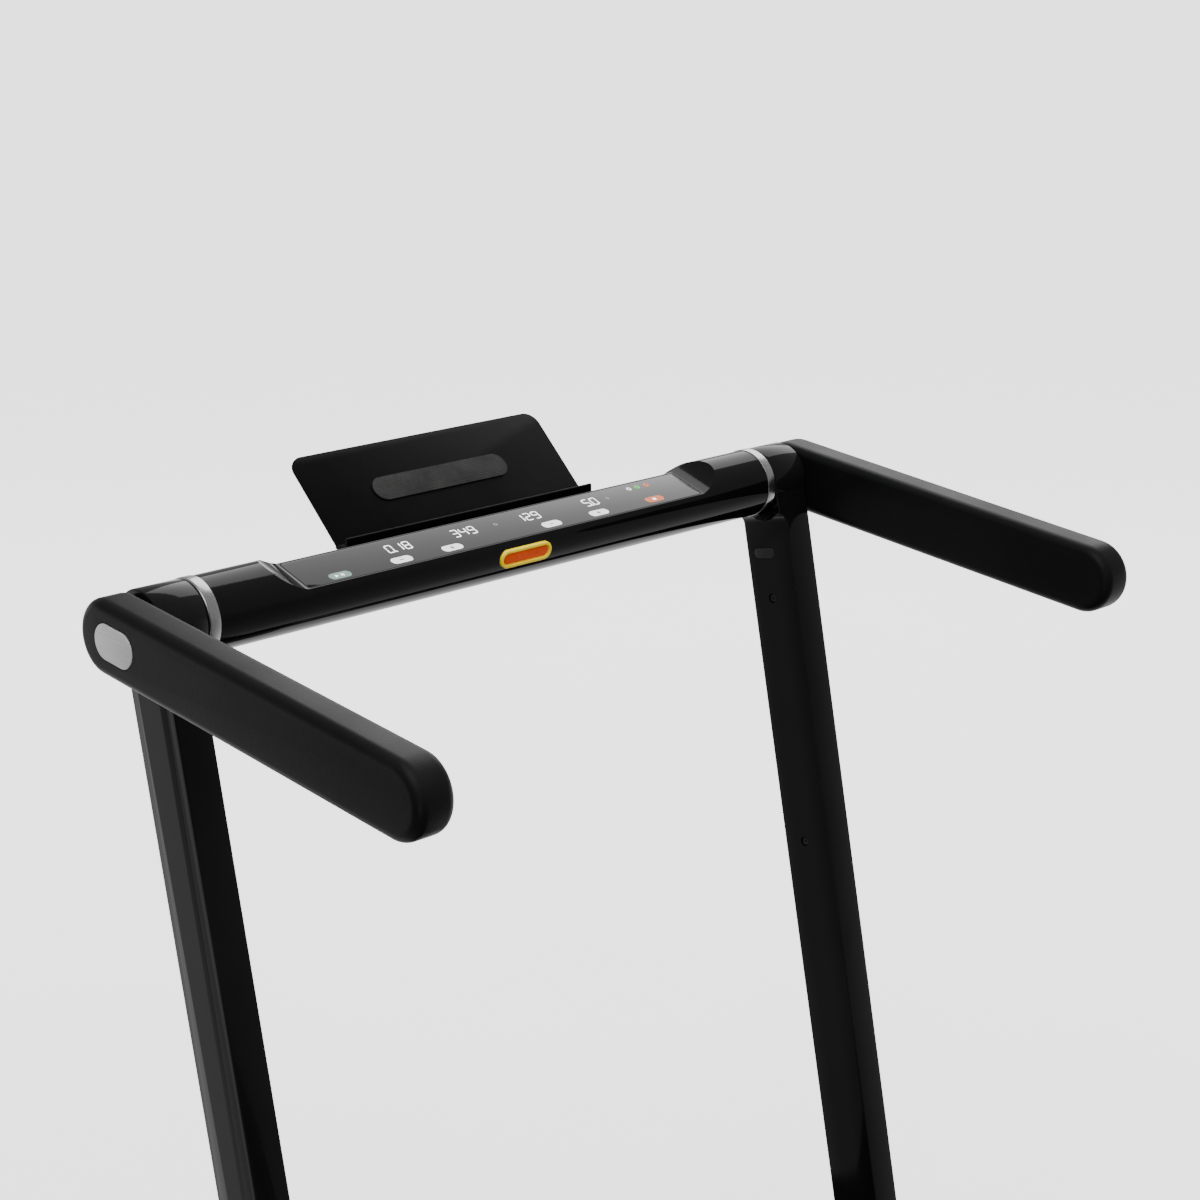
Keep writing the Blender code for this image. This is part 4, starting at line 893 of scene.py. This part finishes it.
def make_handrails():
    face = GRIP_IN + GRIP_THICK
    badge_ends = along_rail(0.0085), along_rail(0.0305)
    for label, side in SIDES:
        outline = pill(at_bar(0, 0), along_rail(GRIP_REACH), GRIP_RADIUS, 40)
        rail = soften(slab("handrail_" + label, 'X', outline, side * GRIP_IN, side * face), 0.009, 10, 60)
        a, b = span(side, GRIP_IN - 0.013, GRIP_IN + 0.004)
        weld(rail, turned("boss", 'X', BAR, [(a, 0.01), (b, 0.01)], 48))
        cut(rail, 'X', pill(*badge_ends, 0.0157, 24), side * (face - 0.0008), side * (face + 0.01))
        deliver(rail, soft_grip, "handrail_" + label, "grip_black", angle=40)
        shape = pill(*badge_ends, 0.0149, 24)
        badge = slab("badge_" + label, 'X', shape, side * (face - 0.0007), side * (face + 0.0007))
        deliver(soften(badge, 0.0004, 3), badge_metal, "handrail_" + label, "badge_silver")


# ======== tablet plate
def make_tablet_plate():
    corner = 0.014
    outline = [(-PLATE_HALF, -0.0005), (PLATE_HALF, -0.0005)]
    outline += arc((PLATE_HALF - corner, PLATE_HEIGHT - corner), corner, 0, 90, 12)
    outline += arc((corner - PLATE_HALF, PLATE_HEIGHT - corner), corner, 90, 180, 12)
    plate = soften(plate_of("tablet_plate", on_plate, outline, 0.0, PLATE_THICK), 0.0007, 3, 50)
    ledge = mm((-9.3, 4.6), (-8.7, 4), (7, 4), (7, 7.5),
               (-5.8, 7.5), (-6.5, 8.2), (-6.5, 15), (-7.2, 15.8), (-7.9, 16), (-8.6, 15.8), (-9.3, 15))
    weld(plate, slab("tray", 'X', [(HINGE_Y + y, HINGE_Z + z) for y, z in ledge], -PLATE_HALF, PLATE_HALF),
         turned("knuckle", 'X', HINGE, [(-PLATE_HALF + 0.001, 0.0054), (PLATE_HALF - 0.001, 0.0054)], 48))
    drill(plate, 'X', HINGE, -PLATE_HALF - 0.01, PLATE_HALF + 0.01, 0.003, 32)
    for x in (-0.048, 0.048):
        drain = pill((HINGE_Y - 0.0066, HINGE_Z + 0.0104), (HINGE_Y - 0.0066, HINGE_Z + 0.0112), 0.0006, 6)
        cut(plate, 'X', drain, x - 0.012, x + 0.012)
    deliver(plate, satin_black, "tablet", "grip_black", angle=25)
    shape = pill((0.01235 - 0.078, 0.0457), (0.078 - 0.01235, 0.0457), 0.01235, 24)
    pad = soften(plate_of("tablet_pad", on_plate, shape, -0.0002, -0.0014), 0.0005, 3, 50)
    deliver(pad, stud_pad, "tablet", "pad_grey")
    near = stepped(-PLATE_HALF - 0.0135, 1, (0, 1.5), (0.7, 2.3), (1.4, 2.5))
    pin = near + [(-along, radius) for along, radius in reversed(near)]
    deliver(turned("hinge_pin", 'X', HINGE, pin, 32), zinc, "mast", "bright_steel")


# ======== deck
def make_running_belt():
    low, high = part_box("running_belt")
    middle = (low.z + high.z) / 2
    radius = (high.z - low.z) / 2
    rear, front = low.y + radius, high.y - radius
    belt = slab("running_belt", 'X', pill((rear, middle), (front, middle), radius, 40), low.x, high.x)
    soften(belt, 0.0006, 2, 60)
    thick = 0.002
    cut(belt, 'X', pill((rear, middle), (front, middle), radius - thick, 40), low.x - 0.01, high.x + 0.01)
    deliver(belt, walking_weave, "base", "walking_belt")


def make_side_rails():
    low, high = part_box("side_rail_right")
    lip, wall, skin, bottom, shelf = low.x, high.x, 0.0035, 0.03, 0.1058
    first, last, pitch = lip + 0.01, wall - 0.01, 0.006
    rib = mm((0, 1.1), (0.6, 0.2), (1.1, 0), (3.3, 0), (3.8, 0.2), (4.4, 1.1))
    ribs = []
    for i in range(int((last - first) / pitch)):
        ribs += [(last - i * pitch - across, RAIL_TOP - down) for across, down in rib]
    edge = 0.0045
    outline = [(lip, shelf), (lip + 0.003, shelf), (lip + 0.003, RAIL_TOP - skin), (wall - skin, RAIL_TOP - skin),
               (wall - skin, bottom), (wall, bottom)]
    outline += arc((wall - edge, RAIL_TOP - edge), edge, 0, 90, 8)
    outline += [(last + 0.0014, RAIL_TOP), (last + 0.0008, RAIL_TOP - 0.0002)] + ribs
    outline += [(ribs[-1][0] - 0.0008, RAIL_TOP - 0.0002), (ribs[-1][0] - 0.0014, RAIL_TOP)]
    outline += arc((lip + 0.0025, RAIL_TOP - 0.0025), 0.0025, 90, 180, 5)
    for label, side in SIDES:
        rail = slab("side_rail_" + label, 'Y', [(side * x, z) for x, z in outline], low.y, high.y)
        deliver(rail, rail_plastic, "base", "rail_black", angle=25)


def make_end_caps():
    low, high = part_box("end_cap_right")
    corner, skin = 0.03, 0.0035
    head = low.y + 0.0006

    def plan(side, inset, inner, back, steps):
        points = [(inner, low.y + inset)] + arc((high.x - corner, low.y + corner), corner - inset, -90, 0, steps)
        return [(side * x, y) for x, y in points + [(high.x - inset, back), (inner, back)]]

    for label, side in SIDES:
        cap = slab("end_cap_" + label, 'Z', plan(side, 0, low.x, high.y, 18), low.z, high.z)
        soften(cap, 0.004, 5, 50)
        cut(cap, 'Z', plan(side, skin, low.x - 0.01, high.y + 0.01, 12), 0.02, high.z - skin)
        bolt_at = (side * 0.262, centre_of("rear_axle").z)
        drill(cap, 'Y', bolt_at, low.y - 0.01, low.y + 0.01, 0.008, 40)
        # three shallow grip lines across the top of the cap
        for y in (0.03, 0.038, 0.046):
            across = span(side, low.x + 0.012, high.x - 0.014)
            line = rounded(*across, low.y + y - 0.0015, low.y + y + 0.0015, 0.0014, 3)
            cut(cap, 'Z', line, high.z - 0.0009, high.z + 0.01)
        deliver(cap, rail_plastic, "base", "rail_black", angle=30)
        profile = stepped(head, 1, (0, 6.4), (0.3, 7), (0.9, 7.3), (7.9, 7.3), (8, 4))
        bolt = turned("tension_bolt_" + label, 'Y', bolt_at,
                      profile + [(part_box("tension_bolt_" + label)[1].y, 0.004)], 40)
        drill(bolt, 'Y', bolt_at, head - 0.002, head + 0.0045, 0.004, 6)
        deliver(bolt, zinc, "base", "bright_steel")


# ======== motor hood
def hood_outline(inset):
    """Side outline of the hood, pulled in by the inset."""
    rear = mm((0, 118), (2, 132), (12, 151), (35, 172), (75, 185)) + [(0.13, HOOD_TOP - 0.0003)]
    front = mm((120, 3), (60, 14), (25, 34), (6, 64), (0, 100))
    top = curve_through([(HOOD_REAR + y, z) for y, z in rear]
                        + [(BASE_FRONT - back, HOOD_TOP - down) for back, down in front], 5)
    line = [(HOOD_REAR, 0.03)] + top + [(BASE_FRONT, 0.03)]
    if not inset:
        return line
    inner = []
    for i, (y, z) in enumerate(line):
        before, after = line[max(i - 1, 0)], line[min(i + 1, len(line) - 1)]
        run = Vector((after[0] - before[0], after[1] - before[1])).normalized()
        inner.append((y + run.y * inset, z - run.x * inset))
    inner[0] = (HOOD_REAR + inset, 0.01)
    inner[-1] = (BASE_FRONT - inset, 0.01)
    return inner


def make_hood():
    wall = 0.003
    hood = slab("motor_hood", 'X', hood_outline(0), -SIDE_X, SIDE_X)
    soften(hood, 0.0085, 6, 60)
    cut(hood, 'X', hood_outline(wall), wall - SIDE_X, SIDE_X - wall)
    cut(hood, 'Z', rounded(wall - SIDE_X, SIDE_X - wall, HOOD_REAR - 0.02, HOOD_REAR + 0.012, 0.002), 0.0, 0.112)
    for label, side in SIDES:
        notch = rounded(PIVOT_Y - 0.055, PIVOT_Y + 0.055, -0.02, 0.0855, 0.004)
        cut(hood, 'X', notch, *span(side, SIDE_X - 0.007, SIDE_X + 0.01))
    low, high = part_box("inlet_panel")
    openings = [rounded(low.x - 0.0004, high.x + 0.0004, low.z - 0.0004, high.z + 0.0004, 0.002, 3)]
    # cooling slots in the front wall
    for row in range(5):
        z = 0.048 + row * 0.009
        openings.append(pill((-0.262, z), (-0.13, z), 0.0021, 6))
    for opening in openings:
        cut(hood, 'Y', opening, BASE_FRONT - 0.012, BASE_FRONT + 0.02)
    baffle = slab("slot_baffle", 'Y', rounded(-0.276, -0.116, 0.031, 0.098, 0.004),
                  BASE_FRONT - 0.0185, BASE_FRONT - 0.0165)
    deliver(baffle, dark_plastic, "base", "dark_plastic")
    # a shallow line across the top parts the service lid from the front
    line_y, wide = BASE_FRONT - 0.135, SIDE_X + 0.01
    line = [(-wide, HOOD_TOP - 0.004), (wide, HOOD_TOP - 0.004), (wide, HOOD_TOP + 0.01), (-wide, HOOD_TOP + 0.01)]
    cut(hood, 'Y', line, line_y - 0.0005, line_y + 0.0005)
    deliver(hood, hood_gloss, "base", "gloss_black", "hood_top", "hood_side_left", "hood_side_right", angle=28)
    for label, side in SIDES:
        for number, y in ((1, HOOD_REAR + 0.16), (2, BASE_FRONT - 0.06)):
            x = side * (SIDE_X - 0.0002)
            screw = turned("hood_screw_%s_%d" % (label, number), 'X', (y, 0.046),
                           stepped(x, side, (0, 5.2), (0.9, 5), (1.6, 4)), 36)
            drill(screw, 'X', (y, 0.046), x + side * 0.0006, x + side * 0.004, 0.0023, 6)
            deliver(screw, zinc, "base", "bright_steel")


# ======== mast pivots, knobs, wheels and feet
def make_pivots():
    reach = hypot(STUD_Y - PIVOT_Y, STUD_Z - PIVOT_Z)
    first, half = 90 - degrees(LEAN), 0.0055
    face = arc(PIVOT, 0.073, -48, 228, 72) + [(PIVOT_Y - 0.05, 0.032), (PIVOT_Y + 0.05, 0.032)]
    slot = arc(PIVOT, reach + half, first, 180, 40) + arc((PIVOT_Y - reach, PIVOT_Z), half, 180, 360, 12)[1:-1]
    slot += arc(PIVOT, reach - half, 180, first, 40) + arc(STUD, half, first + 180, first + 360, 12)[1:-1]
    for label, side in SIDES:
        low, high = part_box("pivot_plate_" + label)
        plate = slab("pivot_plate_" + label, 'X', face, side * 0.3343, side * (ARM_IN - 0.0032))
        soften(plate, 0.0012, 3, 50)
        a, b = span(side, 0.32, 0.36)
        cut(plate, 'X', slot, a, b)
        drill(plate, 'X', PIVOT, a, b, 0.0085, 40)
        root = low.x if side > 0 else high.x
        weld(plate, slab("mount", 'X', rounded(PIVOT_Y - 0.048, PIVOT_Y + 0.048, 0.034, 0.078, 0.004),
                         root, root + side * 0.0105))
        deliver(plate, frame_paint, "base", "frame_steel", angle=30)

        low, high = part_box("pivot_bolt_" + label)
        tip, end = (low.x, high.x) if side > 0 else (high.x, low.x)
        flange = side * (ARM_OUT + 0.0005)
        profile = stepped(tip, side, (0, 7.2), (0.8, 8))
        profile += stepped(flange, side, (0, 8), (0.1, 14.5), (1.2, 14.5), (1.4, 12.8), (4.5, 12.5), (6.5, 11))
        bolt = turned("pivot_bolt_" + label, 'X', PIVOT, profile + [(end, 0.0085)], 64)
        drill(bolt, 'X', PIVOT, end - side * 0.004, end + side * 0.01, 0.0055, 6)
        deliver(bolt, zinc, "base", "bright_steel")
        make_knob(label, side, flange)


def make_knob(label, side, flange):
    """Six-lobed clamp knob with a skirt, a cap and its steel stud."""
    def part(name, *steps, count=64):
        return turned(name, 'X', STUD, stepped(flange, side, *steps), count)

    lobes = []
    for i in range(96):
        angle = tau * i / 96
        radius = 0.018 + 0.0018 * cos(6 * angle)
        lobes.append((STUD_Y + radius * cos(angle), STUD_Z + radius * sin(angle)))
    body = "lock_knob_" + label
    grip = soften(slab(body, 'X', lobes, flange + side * 0.007, flange + side * 0.0212), 0.0026, 4, 60)
    weld(grip, part("skirt", (0.1, 11.8), (4, 12), (7.5, 14.5)))
    carve(grip, part("dish", (20.2, 9.8), (30, 10.8)))
    deliver(grip, dark_plastic, body, "dark_plastic", angle=35)
    cap = part("knob_cap_" + label, (19.8, 9.4), (20.6, 9.4), (20.9, 8.8), count=48)
    deliver(cap, cast_metal, body, "brushed_aluminium")
    stud = turned("knob_stud_" + label, 'X', STUD,
                  stepped(side * 0.3347, side, (0, 4.4), (0.8, 5)) + [(flange, 0.005)], 40)
    deliver(stud, zinc, body, "bright_steel")


def make_wheels():
    hub, edge = 0.015, 0.0028
    for label, side in SIDES:
        low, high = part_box("wheel_" + label)
        centre = centre_of("wheel_" + label).yz
        outer = (high.z - low.z) / 2
        a, b = low.x, high.x
        profile = [(a, hub), (a, outer - edge)] + arc((a + edge, outer - edge), edge, 150, 90, 2)
        for x in (a + 0.0075, (a + b) / 2, b - 0.0075):
            profile += [(x + across, outer - down) for across, down in mm((-0.9, 0), (-0.6, 0.9), (0.6, 0.9), (0.9, 0))]
        profile += arc((b - edge, outer - edge), edge, 90, 0, 3) + [(b, hub)]
        tyre = spun("wheel_" + label, 'X', centre, profile, 72)
        deliver(tyre, rubber, "wheel_" + label, "rubber_black")
        core = stepped(a, 1, (0.8, 4.6), (0.8, 7), (3, 7.6), (3, 12), (0.8, 12.6), (0.8, 14.9))
        core += [(a + b - x, radius) for x, radius in reversed(core)]
        deliver(spun("wheel_core_" + label, 'X', centre, core, 64), dark_plastic, "wheel_" + label, "dark_plastic")


def make_feet():
    sole = mm((0, 16.5), (0.5, 17.4), (1.5, 18), (7, 18), (7.4, 17), (8.6, 17), (9, 18))
    for end in ("front", "rear"):
        for label, side in SIDES:
            name = "foot_%s_%s" % (end, label)
            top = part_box(name)[1].z
            foot = turned(name, 'Z', centre_of(name).xy,
                          sole + stepped(top, -1, (3, 18), (1.2, 17.2), (0, 15.5)), 56)
            deliver(foot, rubber, "base", "rubber_black")


def make_inlet_parts():
    low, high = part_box("power_switch")
    tilt = radians(10)
    axis_y, axis_z = joints["power_switch_rock"]["pos_m"][1:]
    below = mm((-4.5, -6.2), (5, -6.8), (6, -6.6), (6.2, -5.8), (5.2, -2.6))
    section = below + [(0.0047, 0.0)] + [(y, -z) for y, z in reversed(below)]
    turned_section = [(axis_y + y * cos(tilt) - z * sin(tilt), axis_z + y * sin(tilt) + z * cos(tilt))
                      for y, z in section]
    rocker = soften(slab("power_switch", 'X', turned_section, low.x, high.x), 0.0004, 2, 50)
    deliver(rocker, red_switch, "power_switch", "switch_red")
    low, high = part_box("breaker_button")
    centre = centre_of("breaker_button").xz
    button = turned("breaker_button", 'Y', centre,
                    [(low.y, 0.005)] + stepped(high.y, -1, (1, 5), (0.4, 4.6), (0.1, 4)), 40)
    carve(button, turned("dish", 'Y', centre, [(high.y - 0.0005, 0.0026), (high.y + 0.001, 0.0032)], 32))
    deliver(button, dark_plastic, "breaker_button", "dark_plastic")


def coat_kept_nodes():
    """Pieces inside the machine keep their frame shape and get their finish."""
    kept = ((frame_paint, "side_beam_left side_beam_right cross_member_front cross_member_rear motor"),
            (rubber, "deck_cushion_left deck_cushion_right drive_belt"),
            (zinc, "front_roller rear_roller front_axle rear_axle motor_pulley core_tube"),
            (cast_metal, "roller_pulley controller_box"), (dark_plastic, "belly_pan inlet_panel"),
            (deck_laminate, "deck_board"), (circuit_board, "display_board"))
    for finish, names in kept:
        for name in names.split():
            nodes[name].material_slots[0].material = finish


make_console_shell()
make_console_cover()
make_trim_rings()
make_stop_pad()
make_display()
make_uprights()
make_handrails()
make_tablet_plate()
make_running_belt()
make_side_rails()
make_end_caps()
make_hood()
make_pivots()
make_wheels()
make_feet()
make_inlet_parts()
coat_kept_nodes()


# ======== studio
def stage(piece, name, material):
    """Part of the studio that the machine's gloss doesn't mirror."""
    piece.name = name
    piece.data.materials.append(material)
    piece.visible_glossy = False
    piece.visible_diffuse = False


def make_floor():
    """Pale floor sweep with a soft glow of its own, weaker near the machine as painted shade around it."""
    pick(None)
    bpy.ops.mesh.primitive_plane_add(size=120, location=(0, 0, -0.0005))
    material, tree = start_finish("pale_floor", specular=0.1)
    paint(tree, noise(tree, 2.0, 3), (0.82, 0.82, 0.82), (0.86, 0.86, 0.86))
    wire(tree, 0.9, "Roughness")
    wire(tree, (1, 1, 1, 1), "Emission Color")
    # the glow is dimmed close to the machine: painted shade that deepens its shadow on the floor
    reach = on_piece(tree, add(tree, "VectorMath", operation='LENGTH'))
    wire(tree, between(tree, reach["Value"], 0.55 * FLOOR_GLOW, FLOOR_GLOW, 0.9, 4.0), "Emission Strength")
    stage(bpy.context.object, "floor", material)


def make_backdrop():
    """Pale walls far off, as bright as the far floor, seen only straight on."""
    pick(None)
    bpy.ops.mesh.primitive_uv_sphere_add(segments=96, ring_count=48, radius=59)
    bpy.ops.object.shade_smooth()
    material, tree = start_finish("pale_wall", specular=0.0)
    wire(tree, (0, 0, 0, 1), "Base Color")
    wire(tree, blend_colours(tree, noise(tree, 0.02, 2), (0.985, 0.985, 0.985), (1.0, 1.0, 1.0)), "Emission Color")
    wire(tree, FLOOR_GLOW * 1.08, "Emission Strength")
    bpy.context.object.visible_shadow = False
    stage(bpy.context.object, "backdrop", material)


def soft_light(name, place_at, aim_at, width, height, radiance):
    """A softbox of the given brightness."""
    data = bpy.data.lights.new(name, 'AREA')
    data.shape = 'RECTANGLE'
    data.size = width
    data.size_y = height
    data.energy = radiance * 4 * width * height
    lamp = bpy.data.objects.new(name, data)
    bpy.context.scene.collection.objects.link(lamp)
    lamp.location = place_at
    lamp.rotation_euler = (Vector(aim_at) - Vector(place_at)).to_track_quat('-Z', 'Y').to_euler()
    lamp.visible_camera = False
    return lamp


def make_world():
    """Studio walls: dim behind the user, paler in front of the machine and low down, soft above."""
    world = bpy.data.worlds.new("studio")
    bpy.context.scene.world = world
    world.use_nodes = True
    tree = world.node_tree
    coords = add(tree, "TexCoord")
    split = add(tree, "SeparateXYZ")
    tree.links.new(coords.outputs["Generated"], split.inputs["Vector"])

    def greys(source, *stops):
        return ramp(tree, between(tree, source, 0, 1, -1, 1), [(position, (tone,) * 3) for position, tone in stops])

    ahead = maths(tree, 'ADD', maths(tree, 'MULTIPLY', split.outputs["X"], 0.69),
                  maths(tree, 'MULTIPLY', split.outputs["Y"], 0.725))
    low = greys(ahead, (0.0, 0.09), (0.4, 0.13), (0.54, 0.3), (0.7, 0.9), (1.0, 1.5))
    high = greys(ahead, (0.0, 0.14), (0.5, 0.2), (0.9, 0.3), (1.0, 0.4))
    level = greys(split.outputs["Z"], (0.0, 0.0), (0.46, 0.0), (0.54, 1.0), (1.0, 1.0))
    mix = add(tree, "Mix", data_type='RGBA')
    for source, entry in ((level, 0), (low, 6), (high, 7)):
        tree.links.new(source, mix.inputs[entry])
    background = tree.nodes["Background"]
    tree.links.new(mix.outputs[2], background.inputs["Color"])
    background.inputs["Strength"].default_value = 1.0


def make_studio():
    make_floor()
    make_backdrop()
    bar = Vector((0, BAR_Y, BAR_Z))
    for name, place_at, aim_at, width, height, radiance, mirrored in (
            ("face_softbox", bar + Vector((0.66, 0.42, 0.62)) * 3.2, bar, 2.6, 3.2, 1.3, True),
            ("ceiling_softbox", (-2.2, -0.4, 3.4), (-0.2, 0.3, 0), 2.4, 2.4, 0.9, True),
            ("low_strip", (-1.9, -1.1, 0.45), (-0.4, 0.33, 1.05), 0.3, 1.0, 1.3, True),
            ("floor_softbox", (0.2, -0.2, 3.6), (0, 0, 0), 4.0, 4.0, 3.2, False),
            ("fill", (-2.2, -2.6, 2.2), bar, 2.6, 2.6, 1.8, False)):
        soft_light(name, place_at, aim_at, width, height, radiance).visible_glossy = mirrored
    make_world()


def make_camera():
    data = bpy.data.cameras.new("camera")
    data.lens = LENS
    data.sensor_width = 36
    camera = bpy.data.objects.new("camera", data)
    bpy.context.scene.collection.objects.link(camera)
    camera.location = Vector((0, BAR_Y, BAR_Z)) + CAMERA_FROM_BAR
    camera.rotation_euler = (pi / 2 - CAMERA_DOWN, 0, -CAMERA_RIGHT)
    bpy.context.scene.camera = camera


make_studio()
make_camera()
